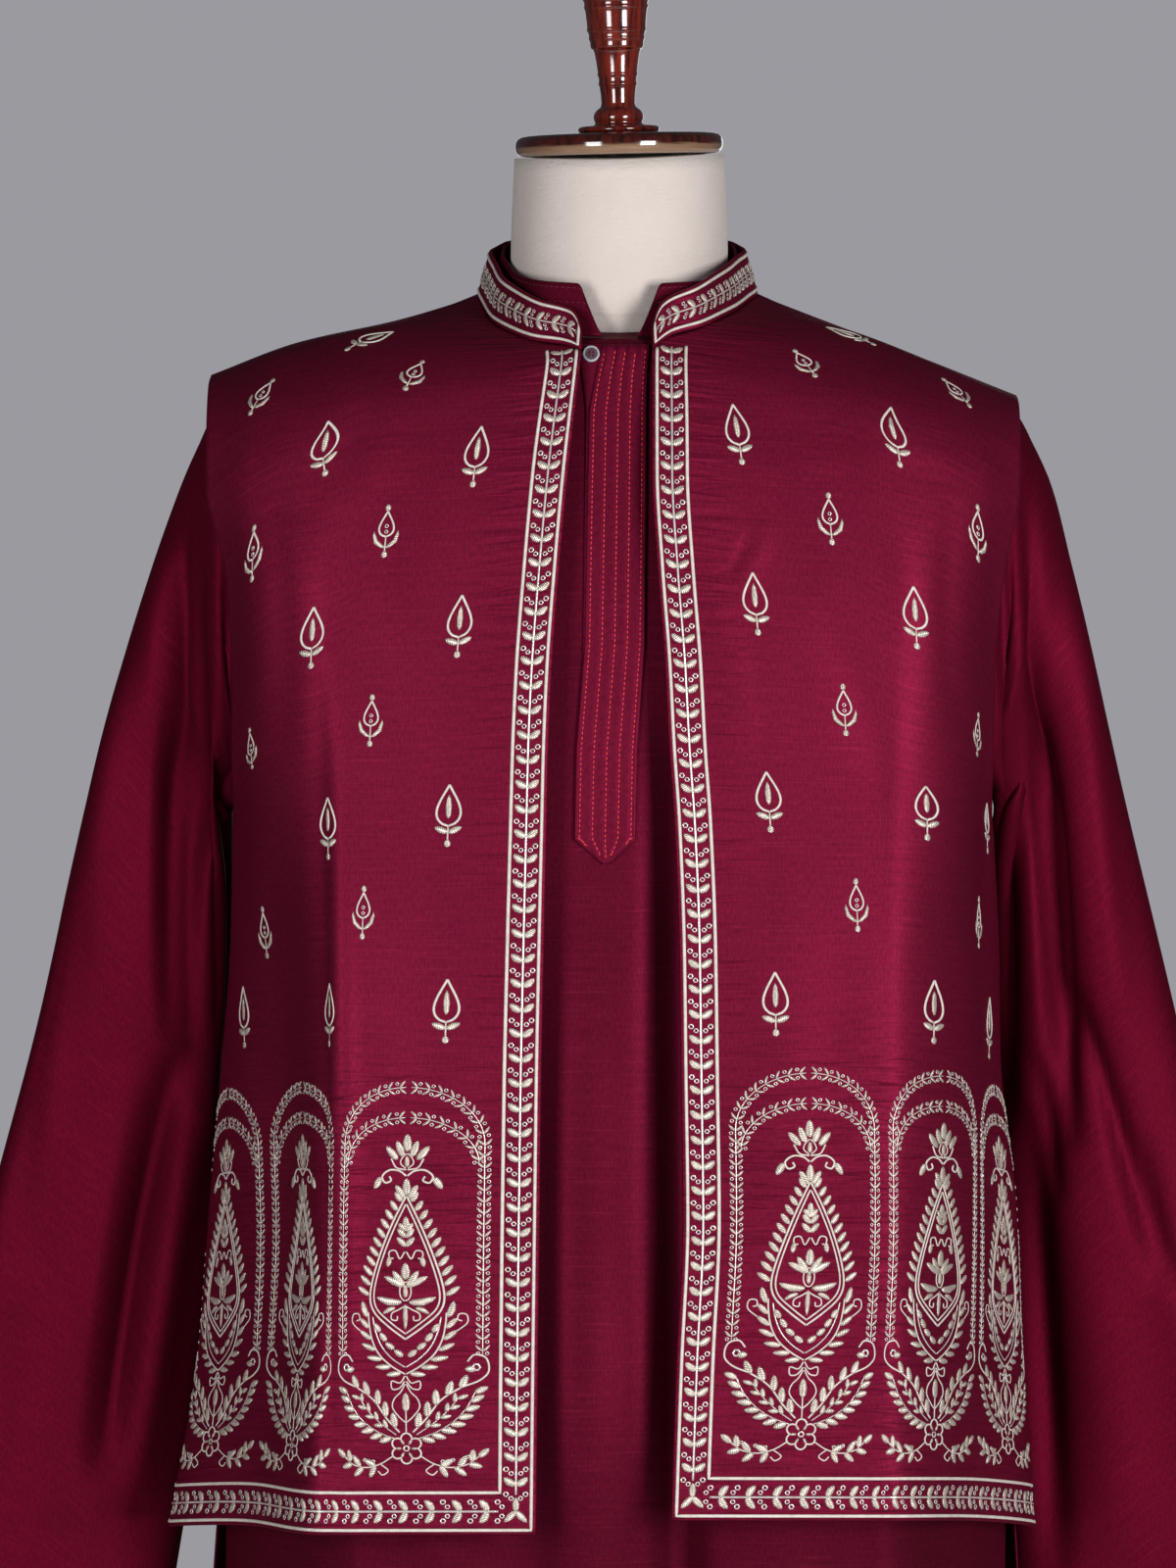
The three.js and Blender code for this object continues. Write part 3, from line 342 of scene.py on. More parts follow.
def leaned(points, about):
    """Points turned about a place by the cap's lean: forwards round X, then sideways round Y."""
    forward, sideways = cap_lean
    x, y, z = (points - about).T
    x, z = x * np.cos(sideways) + z * np.sin(sideways), z * np.cos(sideways) - x * np.sin(sideways)
    y, z = y * np.cos(forward) - z * np.sin(forward), z * np.cos(forward) + y * np.sin(forward)
    return np.stack([x, y, z], -1) + about


def torso_points(levels, steps):
    """Rings of a squared ellipse: half width and depth times the 2/power-th power of cosine and sine."""
    share = np.linspace(0, 1, levels)
    heights = np.interp(share, np.linspace(0, 1, len(torso_levels)), torso_levels[:, 0])
    outline = smooth_through(torso_levels[:, 0], torso_levels[:, 1:], heights)
    wide, front, back, power = outline.T[..., None]
    drawn_in = np.where(heights < hidden_below, drawn_in_by, 0.0)[:, None]
    turn = np.linspace(0, 2 * np.pi, steps, endpoint=False)
    squared = lambda v: np.sign(v) * np.abs(v) ** (2 / power)
    deep = (back - front) / 2 - drawn_in
    rings = np.stack([
        (wide - drawn_in) * squared(np.cos(turn)),
        (front + back) / 2 + deep * squared(np.sin(turn)),
        heights[:, None] + 0 * turn,
    ], -1)
    # The top edge leans with the cap and dips at the front; the lean fades out down the neck.
    seat = np.array([0, neck_middle_y, torso_levels[-1, 0]])
    top = leaned(rings[-1], seat)
    top[:, 2] -= front_dip * np.clip(-np.sin(turn), 0, None) ** 2
    fade = np.clip((heights - lean_from) / (torso_levels[-1, 0] - lean_from), 0, 1)[:, None] ** 2
    rings[..., 2] += fade * (top[:, 2] - torso_levels[-1, 0])
    return rings, seat


def maths(tree, operation, *values):
    """The sum, product or the like of sockets and numbers."""
    return add_node(tree, "ShaderNodeMath", dict(enumerate(values)), operation=operation).outputs[0]


def jersey_shade(tree):
    """Fine cream jersey: crinkles of the knit 2 mm tall and 6 mm long, a soft dry surface and faint
    warm unevenness 40 mm across."""
    rows, fuzz = object_noise(tree, (150, 150, 480), 3.0), object_noise(tree, (1100, 1100, 1100), 3.0)
    cloud = object_noise(tree, (24, 24, 24), 3.0)
    return {
        "Base Color": between(tree, cloud, "#cfc3bb", "#ded2ca"), "Roughness": 0.92,
        "Normal": bump(tree, maths(tree, "ADD", rows, fuzz), 0.5, 0.0008),
        "Sheen Weight": 0.25, "Sheen Roughness": 0.6,
    }


torso_rings_up, torso_steps = 110, 104
torso_rings, torso_seat = torso_points(torso_rings_up, torso_steps)
torso_foot = np.array([0, torso_rings[0, :, 1].mean(), torso_levels[0, 0]])
around = np.arange(torso_steps)
onward = (around + 1) % torso_steps
foot_number = torso_rings_up * torso_steps
top_ring = foot_number - torso_steps
torso = mesh_piece("form_torso_jersey", np.vstack([torso_rings.reshape(-1, 3), torso_foot, torso_seat]), [
    grid_quads(torso_rings_up, torso_steps, wrap=True),
    np.stack([0 * around + foot_number, onward, around], -1),
    np.stack([0 * around + foot_number + 1, top_ring + around, top_ring + onward], -1),
], surface_material("stretched cotton jersey", jersey_shade))
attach(torso, "root")
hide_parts("form_torso")


# ---- Neck cap and finial ---------------------------------------------------------------------------
# Both are turned from one red-brown hardwood and dipped in gloss lacquer: a thin disc that closes the
# neck, its underside left pale, and a stack of rings and a long handle screwed into it.
cap_seat = np.array([0, neck_middle_y, 1531.8])
cap_profile = [
    [0, 0], [30, 0], [54, 0], [57.5, 0.6], [60, 2.8], [60.5, 6.2], [60, 9.6], [57.5, 12], [50, 12.6],
    [30, 13], [0, 13],
]
cap_axis = leaned(np.array([0, 0, 1.0]), np.zeros(3))


def ramp(tree, value, low, high, start=0.0, end=1.0):
    """start where value is low or less, end where it is high or more, and even steps between."""
    return add_node(tree, "ShaderNodeMapRange", {
        "Value": value, "From Min": low, "From Max": high, "To Min": start, "To Max": end,
    }).outputs[0]


def cap_shade(tree):
    """The cap's lacquer is dark and glossy above and stops 6 mm up its edge, where the bare pale wood
    begins through a scorched line, ragged by 3 mm with the grain."""
    lacquer = lacquered_wood("#260a07", "#4a1810", 0.12)(tree)
    grain = object_noise(tree, (60, 60, 900), 3.0)
    place = add_node(tree, "ShaderNodeTexCoord")
    risen = add_node(tree, "ShaderNodeVectorMath", {
        0: place.outputs["Object"], 1: tuple(cap_axis),
    }, operation="DOT_PRODUCT")
    ragged = maths(tree, "MULTIPLY_ADD", grain, 0.003, risen.outputs["Value"])
    foot = float(cap_axis @ cap_seat) * MM
    bare = ramp(tree, ragged, foot + 0.0062, foot + 0.0078, 1.0, 0.0)
    pale = between(tree, grain, "#74553f", "#9c7d62")
    return {**lacquer, "Base Color": between(tree, bare, lacquer["Base Color"], pale)}


cap_wood = surface_material("hardwood, lacquered above", cap_shade)
cap = turned_piece("form_neck_cap_turned", cap_profile, cap_wood, centre=cap_seat)
finial_profile = [
    [0, 0], [20, 0], [22.4, 0], [23.7, 1.2], [23.7, 2.8], [22, 4], [13, 4.6], [14.6, 8], [14.4, 11],
    [12.4, 13.6], [9.7, 15.2], [9.9, 21], [10.6, 27], [11.4, 28], [10.9, 29.4], [11, 32.4], [11.9, 33.6],
    [11.4, 35], [12.4, 42], [13.4, 48], [15.4, 49], [15.6, 53.4], [16.5, 54.4], [16.1, 55.8], [16.6, 58.4],
    [17.5, 59.4], [17, 60.8], [18, 71.4], [18.9, 72.6], [18.4, 74], [18.7, 76.2], [19.4, 77.2],
    [18.8, 78.6], [18, 84], [15.4, 89], [11, 92.4], [5.6, 94.2], [0, 94.8],
]
finial_wood = surface_material("hardwood under gloss lacquer", lacquered_wood("#3a0f0a", "#7e261a", 0.14))
finial = turned_piece("form_finial_turned", finial_profile, finial_wood, centre=cap_seat + [0, 0, 13.3])
for piece, node in ((cap, "form_neck_cap"), (finial, "form_finial")):
    flat_points = np.empty(len(piece.data.vertices) * 3)
    piece.data.vertices.foreach_get("co", flat_points)
    upright = flat_points.reshape(-1, 3) / MM
    piece.data.vertices.foreach_set("co", (leaned(upright, cap_seat) * MM).ravel())
    piece.data.update()
    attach(piece, "root")
    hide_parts(node)


# ---- Kurta body: front and back --------------------------------------------------------------------
# Two panels of light shot silk, magenta one way and near-black the other, sewn at the shoulders and
# sides. They hang from the shoulders in soft upright folds to a plain hem at the knee.
shoulder_y = 8.0
kurta_underarm = 6
kurta_sway = -3.0
# Half sections from the hem up: middle, turn, flank and, above the underarm, the armhole edge.
kurta_side = [
    [246, 2, 398], [237, 2, 640], [232, 2, 735], [218, 2, 850], [211, 3, 1004], [207, 5, 1110],
    [204, 8, 1160],
]
kurta_front_half = np.array([
    [[0, -136, 398], [150, -134, 398], [214, -84, 398], kurta_side[0]],
    [[0, -132, 640], [148, -130, 640], [204, -80, 640], kurta_side[1]],
    [[0, -130, 735], [146, -128, 735], [196, -80, 735], kurta_side[2]],
    [[0, -128, 850], [142, -125, 850], [180, -78, 850], kurta_side[3]],
    [[0, -125, 1004], [138, -120, 1004], [176, -78, 1004], kurta_side[4]],
    [[0, -121, 1110], [138, -115, 1110], [177, -78, 1110], kurta_side[5]],
    [[0, -119, 1160], [139, -112, 1160], [179, -76, 1160], kurta_side[6]],
    [[0, -117, 1202], [141, -110, 1202], [182, -78, 1200], [206, -35, 1198]],
    [[0, -113, 1276], [144, -106, 1276], [190, -82, 1276], [212, -52, 1276]],
    [[0, -105, 1337], [138, -98, 1337], [194, -74, 1336], [217, -44, 1335]],
], float)
kurta_back_half = np.array([
    [[0, 134, 398], [150, 132, 398], [214, 86, 398], kurta_side[0]],
    [[0, 130, 640], [148, 128, 640], [204, 82, 640], kurta_side[1]],
    [[0, 128, 735], [146, 125, 735], [196, 80, 735], kurta_side[2]],
    [[0, 125, 850], [142, 121, 850], [182, 76, 850], kurta_side[3]],
    [[0, 119, 1004], [138, 115, 1004], [177, 72, 1004], kurta_side[4]],
    [[0, 116, 1110], [138, 111, 1110], [177, 72, 1110], kurta_side[5]],
    [[0, 115, 1160], [140, 110, 1160], [178, 76, 1160], kurta_side[6]],
    [[0, 115, 1202], [142, 109, 1202], [181, 82, 1200], [206, 50, 1198]],
    [[0, 114, 1276], [144, 107, 1276], [189, 88, 1276], [212, 68, 1276]],
    [[0, 107, 1337], [138, 100, 1337], [194, 84, 1336], [217, 60, 1335]],
], float)
kurta_front_neck = [[0, -88, 1421], [41, -75, 1424], [64.5, -43, 1430.5], [74.5, shoulder_y, 1447.5]]
kurta_back_neck = [
    [0, 93, 1402], [0, 68.5, 1462], [38, 60, 1460.5], [62, 38, 1455], [74.5, shoulder_y, 1447.5],
]
kurta_ridge = [[125, 1431.2], [180, 1410.2], [222, 1393]]
# The row of a net at which its inner edge reaches the neckline, on a front and on a back.
front_neck_row, back_neck_row = 10, 11


def panel_net(sections, neck, ridge, underarm, outward, middle_top=None):
    """A panel as four columns of points: the inner one up the sections and on along the neckline, and
    turn, flank and side, which go over the shoulder by a quarter of an ellipse, upright at the chest
    and level at the ridge."""
    part = np.linspace(0, 1, len(neck) + 1)[1:, None]
    columns = [np.vstack([sections[:, 0], neck])]
    for column, (x, z) in zip(np.moveaxis(sections[:, 1:], 1, 0), ridge):
        chest, top = column[-1], np.array([x, shoulder_y, z])
        angle = part * np.pi / 2
        arc = np.hstack([
            chest[0] + (top[0] - chest[0]) * part,
            top[1] + (chest[1] - top[1]) * np.cos(angle),
            chest[2] + (top[2] - chest[2]) * np.sin(angle),
        ])
        columns.append(np.vstack([column, arc]))
    return {
        "columns": np.array(columns), "underarm": underarm, "outward": outward, "middle_top": middle_top,
    }


def summed(steps):
    """Running sums along the last axis, from 0."""
    return np.concatenate([np.zeros_like(steps[..., :1]), np.cumsum(steps, axis=-1)], -1)


def on_net(net, across, height):
    """The net's surface at across, 0 at its inner edge to 1, and height, 0 at the hem to 1: a smooth
    curve up each column, and then one across the four points, by their distance apart. It runs
    straight back at a side seam and level through a middle that lies on the centre."""
    count = net["columns"].shape[1]
    at = height * (count - 1)
    row = np.moveaxis(smooth_through(np.arange(count), net["columns"], at), 0, 1)
    gaps = np.maximum(np.linalg.norm(np.diff(row, axis=1), axis=2), 0.01)
    knots = summed(gaps)
    free = np.clip(at - net["underarm"], 0, 1)
    level = np.ones_like(at) if net["middle_top"] is None else np.clip(at - net["middle_top"], 0, 1)
    whole = np.ones_like(at)
    start, end = np.stack([whole, level, level], -1), np.stack([free, whole, whole], -1)
    return smooth_through(knots, row, (across * knots[:, -1])[:, None], start, end)[:, 0]


def crease_depth(x, z, creases):
    """How far creases move the cloth out. Each is an arc from (x, z) to (x, z) as seen from the front,
    bowed aside at its middle: depth times a bell across its width, faded in and out along it."""
    total = np.zeros_like(x)
    for x0, z0, x1, z1, bow, wide, deep in creases:
        run = np.hypot(x1 - x0, z1 - z0)
        along = np.clip(((x - x0) * (x1 - x0) + (z - z0) * (z1 - z0)) / run**2, 0, 1)
        aside = ((x - x0) * (z1 - z0) - (z - z0) * (x1 - x0)) / run - bow * np.sin(np.pi * along)
        total += deep * np.sin(np.pi * along) ** 0.7 * np.exp(-(aside / wide) ** 2)
    return total


def on_cloth(net, across, height, lift=0.0, creases=()):
    """The cloth's middle at a place of its net, creased, and then moved out by lift."""
    small = 1e-3
    here = on_net(net, across, height)
    over = on_net(net, across + small, height) - here
    up = on_net(net, across, height + small) - here
    normal = np.cross(over, up) * net["outward"]
    normal /= np.linalg.norm(normal, axis=1, keepdims=True)
    out = lift + crease_depth(here[:, 0], here[:, 2], creases)
    return here + normal * np.reshape(out, (-1, 1))


def reach_along(points):
    """Each point's distance from the first one, along the line through them all."""
    return summed(np.linalg.norm(np.diff(points, axis=0), axis=1))


half_panel_wide = 260.0    # about how wide half a body panel is


def cloth_grid(net, rows, columns, creases=(), trim=(0.0, 0.0)):
    """A panel's cloth as a grid of points with rows evenly far apart; trim holds back the side seam
    and the shoulder seam by so many millimetres."""
    fine = np.linspace(0, 1, 200)
    length = reach_along(on_net(net, np.full(200, 0.5), fine))
    heights = np.interp(np.linspace(0, length[-1] - trim[1], rows), length, fine)
    reached = np.linspace(0, 1 - trim[0] / half_panel_wide, columns)
    height, across = np.meshgrid(heights, reached, indexing="ij")
    return on_cloth(net, across.ravel(), height.ravel(), 0.0, creases).reshape(rows, columns, 3)


def flat_places(grid, middle=0):
    """Each grid point's place on the flat cloth in metres: distance along its row from column middle,
    and up its column from the hem."""
    across = summed(np.linalg.norm(np.diff(grid, axis=1), axis=2))
    up = summed(np.linalg.norm(np.diff(grid, axis=0), axis=2).T).T
    return np.stack([across - across[:, middle:middle + 1], up], -1) * MM


def outward_of(grid, outward, wrap=False):
    """The way out at each point of a grid; outward is 1 or -1 by the way it winds, and wrap joins the
    last column to the first."""
    looped = np.hstack([grid[:, -1:], grid, grid[:, :1]]) if wrap else grid
    over = np.gradient(looped, axis=1)
    over = over[:, 1:-1] if wrap else over
    normal = np.cross(over, np.gradient(grid, axis=0)) * outward
    return normal / np.linalg.norm(normal, axis=2, keepdims=True)


def cloth_shell(name, grid, thick, finish, outward=1, wrap=False, middle=0):
    """Cloth with its thickness: skins half of it to either side of the grid, joined round every open
    edge by a turned edge that stands out 0.4 of it."""
    rows, columns, _ = grid.shape
    normal = outward_of(grid, outward, wrap)
    away = np.zeros_like(grid)
    away[0] += grid[0] - grid[1]
    away[-1] += grid[-1] - grid[-2]
    if not wrap:
        away[:, 0] += grid[:, 0] - grid[:, 1]
        away[:, -1] += grid[:, -1] - grid[:, -2]
    number = np.arange(rows * columns).reshape(rows, columns)
    if wrap:
        low = np.append(number[0], number[0, 0])
        high = np.append(number[-1], number[-1, 0])[::-1]
        pairs = np.vstack([np.stack([low[:-1], low[1:]], 1), np.stack([high[:-1], high[1:]], 1)])
    else:
        loop = np.concatenate([number[0, :-1], number[:-1, -1], number[-1, :0:-1], number[:0:-1, 0]])
        pairs = np.stack([loop, np.roll(loop, -1)], 1)
    rim = np.unique(pairs)
    edge = grid.reshape(-1, 3)[rim]
    push = away.reshape(-1, 3)[rim]
    push /= np.linalg.norm(push, axis=1, keepdims=True)
    place_in_rim = np.zeros(rows * columns, int)
    place_in_rim[rim] = np.arange(len(rim)) + 2 * rows * columns
    a, b = pairs.T
    turned = place_in_rim
    under = rows * columns
    skin = grid_quads(rows, columns, wrap)
    faces = np.vstack([
        skin, skin[:, ::-1] + under,
        np.stack([b, a, turned[a], turned[b]], 1),
        np.stack([turned[b], turned[a], a + under, b + under], 1),
    ])
    points = np.vstack([
        (grid + normal * thick / 2).reshape(-1, 3), (grid - normal * thick / 2).reshape(-1, 3),
        edge + push * thick * 0.4,
    ])
    flat = flat_places(grid, middle).reshape(-1, 2)
    return mesh_piece(name, points, [faces if outward > 0 else faces[:, ::-1]], finish,
                      np.vstack([flat, flat, flat[rim]]))


def both_halves(left, right):
    """Two half grids that share their first column, joined into one that runs from -X to +X."""
    return np.hstack([left[:, :0:-1], right])


def kurta_net(half, neck, side, outward, rows_below_neck):
    """The net of one half of a kurta panel; the skirt hangs a little aside at the hem."""
    sides = np.array([side, 1, 1])
    sway = lambda p: p * sides + np.stack([
        kurta_sway * np.clip((1160 - p[..., 2]) / 700, 0, 1), 0 * p[..., 0], 0 * p[..., 0],
    ], -1)
    ridge = [[side * x, z] for x, z in kurta_ridge]
    return panel_net(sway(half), sway(np.array(neck, float)), ridge, kurta_underarm, outward, rows_below_neck)


def silk_shade(deep, lit, slub, roughness, lustre, pucker=0.0):
    """Plain-woven dupion silk: a fine upright grain 1 mm wide and 4 mm long, a little coarser than the
    real thread so that it shows, with faint level slubs 1.2 mm thick and 40 mm long, and a close soft
    gloss. pucker adds the short level wrinkles that close embroidery draws into the cloth."""
    def shade(tree):
        flat = add_node(tree, "ShaderNodeUVMap", uv_map="cloth").outputs["UV"]

        def patches(across, up, detail=2.0, twist=0.0):
            """Noise with so many patches a metre across and up the flat cloth."""
            place = add_node(tree, "ShaderNodeMapping", {"Vector": flat, "Scale": (across, up, 1)})
            return add_node(tree, "ShaderNodeTexNoise", {
                "Vector": place.outputs["Vector"], "Scale": 1.0, "Detail": detail, "Distortion": twist,
            }, noise_dimensions="2D").outputs["Fac"]

        grain, slubs, cloud = patches(900, 260), patches(26, 800), patches(16, 7, 3.0)
        threads = add_node(tree, "ShaderNodeMix", {0: 0.3, 2: grain, 3: slubs}, data_type="FLOAT").outputs[0]
        weave = between(tree, ramp(tree, threads, 0.3, 0.7), deep, lit)
        slubbed = between(tree, ramp(tree, slubs, 0.64, 0.84, 0.0, 0.2), weave, slub)
        uneven = ramp(tree, cloud, 0.3, 0.7, 0.92, 1.07)
        tone = add_node(tree, "ShaderNodeHueSaturation", {"Color": slubbed, "Value": uneven})
        normal = bump(tree, threads, 0.25, 0.0003)
        if pucker:
            where = add_node(tree, "ShaderNodeSeparateXYZ", {"Vector": flat})
            near_hem = ramp(tree, where.outputs["Y"], 0.235, 0.29, 1.0, 0.1)
            near_edge = ramp(tree, where.outputs["X"], 0.03, 0.055, 0.55, 0.0)
            drawn = maths(tree, "MAXIMUM", near_hem, near_edge)
            wrinkle = maths(tree, "MULTIPLY", patches(20, 170, 2.0, 0.4), drawn)
            normal = bump(tree, wrinkle, pucker, 0.003, normal)
        return {
            "Base Color": tone.outputs["Color"], "Roughness": roughness, "Normal": normal, "Metallic": lustre,
            "Specular IOR Level": 0.3, "Specular Tint": linear(slub),
        }
    return shade


# The body's silk has painted shade: its colours are darker than the placket's and the sleeves' copies of the
# same cloth, for the shade the jacket casts on the body.
kurta_silk_painted_darker = surface_material("shot dupion silk", silk_shade("#4d0b1e", "#5f1027", "#8a2642", 0.5, 0.42))
# Creases: x and z of one end and the other, bow aside, width and depth. The long ones are the skirt's
# hanging folds; the short ones gather where the placket ends and below the neck. The last one of the
# front is level and very wide: the skirt falls back below the jacket's hem.
kurta_front_creases = [
    (-62, 300, -55, 1120, 3, 22, -8), (-18, 300, -22, 1080, -2, 18, 5.5), (33, 300, 30, 1210, 2, 13, -20),
    (92, 300, 84, 900, 0, 24, 6), (-120, 300, -112, 860, 0, 26, 5.5), (150, 300, 140, 800, 0, 20, -5),
    (-172, 300, -165, 760, 0, 16, -4), (-38, 620, -33, 1010, 2, 7, 1.8), (8, 560, 4, 900, -2, 8, -1.8),
    (56, 520, 50, 860, 0, 9, 2.2), (-85, 420, -80, 700, 0, 9, 2.0), (-4, 1085, -16, 1128, 2, 4, 1.2),
    (-270, 688, 270, 688, 0, 80, -24),
]
kurta_back_creases = [
    (-90, 300, -70, 1150, 4, 26, 6), (-35, 300, -28, 1080, -3, 22, -6), (25, 300, 20, 1120, 3, 22, 5.5),
    (80, 300, 66, 1060, 0, 24, -6), (140, 300, 120, 900, 0, 24, 5), (-150, 300, -130, 940, 0, 22, -5),
    (-8, 620, -6, 960, 0, 8, -1.6), (52, 560, 46, 900, 0, 9, 1.8),
]
kurta_cloth, seam = 1.4, 0.3
kurta_front_nets = {
    side: kurta_net(kurta_front_half, kurta_front_neck, side, side, front_neck_row) for side in (-1, 1)
}
kurta_back_nets = {
    side: kurta_net(kurta_back_half, kurta_back_neck, side, -side, back_neck_row) for side in (-1, 1)
}
seam_gaps = (0.5, 0.5)
front_halves = [cloth_grid(kurta_front_nets[s], 160, 46, kurta_front_creases, seam_gaps) for s in (-1, 1)]
back_halves = [cloth_grid(kurta_back_nets[s], 100, 34, kurta_back_creases, seam_gaps) for s in (-1, 1)]
kurta_front = cloth_shell(
    "kurta_front_cloth", both_halves(*front_halves), kurta_cloth, kurta_silk_painted_darker, 1, middle=45,
)
kurta_back = cloth_shell(
    "kurta_back_cloth", both_halves(*back_halves), kurta_cloth, kurta_silk_painted_darker, -1, middle=33,
)
for piece, node in ((kurta_front, "kurta_front"), (kurta_back, "kurta_back")):
    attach(piece, "root")
    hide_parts(node)


# ---- Kurta plackets and their stitching -------------------------------------------------------------
# Two folded strips of the same silk close the neck slit, one under the other; the upper one ends in a
# point. Five rows of bright red running stitch hold it down and pucker it a little.
strip_cloth = 1.2
# Height, left edge and right edge, from the pointed end up.
placket_edges = np.array([
    [1124.5, -10, -6], [1138, -25.4, 8.3], [1188, -24.4, 9.2], [1248, -19.6, 13.4], [1329, -18.2, 14.4],
    [1380, -17, 14.6], [1400, -13.5, 15], [1417, -9.6, 16.5],
])
under_edges = np.array([[1144, -10, -6], [1152, -22, 6], [1380, -19, 11], [1417.5, -23, 9]])


def find_on(net, x, z):
    """The place of a net that is seen at x and z from the front, by Newton's steps from a guess."""
    across = np.clip(np.abs(x) / 240, 0, 1)
    spine = net["columns"][0, :, 2]
    height = np.interp(z, spine, np.linspace(0, 1, len(spine)))
    small = 1e-3
    for _ in range(6):
        here = on_net(net, across, height)
        over = (on_net(net, across + small, height) - here) / small
        up = (on_net(net, across, height + small) - here) / small
        off_x, off_z = x - here[:, 0], z - here[:, 2]
        size = over[:, 0] * up[:, 2] - over[:, 2] * up[:, 0]
        across = across + (off_x * up[:, 2] - off_z * up[:, 0]) / size
        height = height + (off_z * over[:, 0] - off_x * over[:, 2]) / size
    return across, height


def on_kurta_front(x, z, lift):
    """The kurta front's creased surface at x and z as seen from the front, moved out by lift."""
    points = np.empty((len(x), 3))
    lift = np.broadcast_to(lift, x.shape)
    for side, here in ((-1, x < 0), (1, x >= 0)):
        if here.any():
            net = kurta_front_nets[side]
            across, height = find_on(net, x[here], z[here])
            points[here] = on_cloth(net, across, height, lift[here], kurta_front_creases)
    return points


def edges_at(edges, z):
    """A strip's left and right edges at a height."""
    return np.interp(z, edges[:, 0], edges[:, 1]), np.interp(z, edges[:, 0], edges[:, 2])


def strip_grid(edges, lift, rows, columns, dent=lambda share, z: 0.0):
    """A strip on the kurta front between its left and right edges, lifted off it; dent lowers it. Its
    pointed end takes up the first nine rows."""
    z = np.concatenate([
        np.linspace(edges[0, 0], edges[1, 0], 9)[:-1], np.linspace(edges[1, 0], edges[-1, 0], rows - 8),
    ])
    share, z = np.meshgrid(np.linspace(0, 1, columns), z)
    left, right = edges_at(edges, z)
    x = left + (right - left) * share
    height = np.broadcast_to(lift - dent(share, z), x.shape)
    return on_kurta_front(x.ravel(), z.ravel(), height.ravel()).reshape(*x.shape, 3)


# The strips' silk has painted light: a lighter copy of the body's silk, for the brighter light on the
# placket.
placket_silk_painted_lighter = surface_material(
    "shot dupion silk, folded", silk_shade("#5a0f24", "#6e1430", "#8e2a4a", 0.5, 0.42),
)
under_lift = kurta_cloth / 2 + seam + strip_cloth / 2
placket_lift = under_lift + strip_cloth + seam
stitch_rows = np.array([0.07, 0.285, 0.5, 0.715, 0.93])


def sewn_down(share, z):
    """A dent 0.35 mm deep along each row of stitches, and three small pleats that die out below the
    neck."""
    rows = np.exp(-((share[..., None] - stitch_rows) / 0.035) ** 2).sum(-1)
    pleats = np.cos(2 * np.pi * share * 4) * np.clip((z - 1385) / 32, 0, 1)
    return 0.35 * rows + 0.5 * pleats


under_strip = cloth_shell(
    "kurta_underplacket_strip", strip_grid(under_edges, under_lift, 60, 14), strip_cloth, placket_silk_painted_lighter,
)
placket_strip = cloth_shell(
    "kurta_placket_strip", strip_grid(placket_edges, placket_lift, 110, 34, sewn_down), strip_cloth,
    placket_silk_painted_lighter,
)
for piece, node in ((under_strip, "kurta_underplacket"), (placket_strip, "kurta_placket")):
    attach(piece, "root")
    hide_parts(node)


def right_of(course):
    """Each direction of a flat course, turned a quarter to the right."""
    return np.stack([course[..., 1], -course[..., 0]], -1)


def ribs(lines, half_widths, heights):
    """Low rounded ribs along lines, each given as places (aside, along) on a cloth. A rib's section is
    half an ellipse of five points, half_width to either side and height up, on a flat foot. Returns
    points as (aside, along, lift), quads, end triangles, and each point's distance along its line."""
    lines = np.asarray(lines, float)
    half_widths = np.broadcast_to(half_widths, lines.shape[:2])
    heights = np.broadcast_to(heights, lines.shape[:2])
    course = np.gradient(lines, axis=1)
    course /= np.maximum(np.linalg.norm(course, axis=2, keepdims=True), 1e-9)
    beside = right_of(course)
    angle = np.linspace(0, np.pi, 5)
    flat = lines[:, :, None] + beside[:, :, None] * (half_widths[..., None] * np.cos(angle))[..., None]
    lift = heights[..., None] * np.sin(angle)
    points = np.concatenate([flat, lift[..., None]], -1)
    count, rings = lines.shape[:2]
    first = (np.arange(count) * rings * 5)[:, None, None]
    quads = grid_quads(rings, 5, wrap=True)[None] + first
    fan = np.array([[0, 2, 1], [0, 3, 2], [0, 4, 3]])
    last = (rings - 1) * 5
    ends = np.concatenate([fan, fan[:, ::-1] + last])[None] + first
    along = summed(np.linalg.norm(np.diff(lines, axis=1), axis=2))
    around = np.broadcast_to(np.linspace(0, 1, 5) * 2, (count, rings, 5))
    uv = np.stack([np.repeat(along[..., None], 5, -1), around], -1)
    return (points.reshape(-1, 3), quads[..., ::-1].reshape(-1, 4), ends[..., ::-1].reshape(-1, 3),
            uv.reshape(-1, 2))


def sewn_piece(name, parts, place, finish):
    """One mesh from several lots of ribs or rings; place turns (aside, along, lift) into points."""
    start, quads, ends = 0, [], []
    for points, more_quads, more_ends, _ in parts:
        quads.append(more_quads + start)
        ends.append(more_ends + start)
        start += len(points)
    flat = np.vstack([p[0] for p in parts])
    uv = np.vstack([p[3] for p in parts]) * MM
    return mesh_piece(name, place(flat), [np.vstack(quads), np.vstack(ends)], finish, uv)


def running_stitch(line, long=2.0, gap=0.9, half_width=0.38, height=0.36):
    """Ribs for the stitches along a line of places, as long as given with gaps between."""
    line = np.asarray(line, float)
    reach = reach_along(line)
    starts = np.arange(0.4, reach[-1] - long, long + gap)
    at = starts[:, None] + np.linspace(0, long, 4)
    lines = np.stack([np.interp(at, reach, line[:, 0]), np.interp(at, reach, line[:, 1])], -1)
    swell = np.array([0.45, 1.0, 1.0, 0.45])
    return ribs(lines, half_width * swell, height * swell)


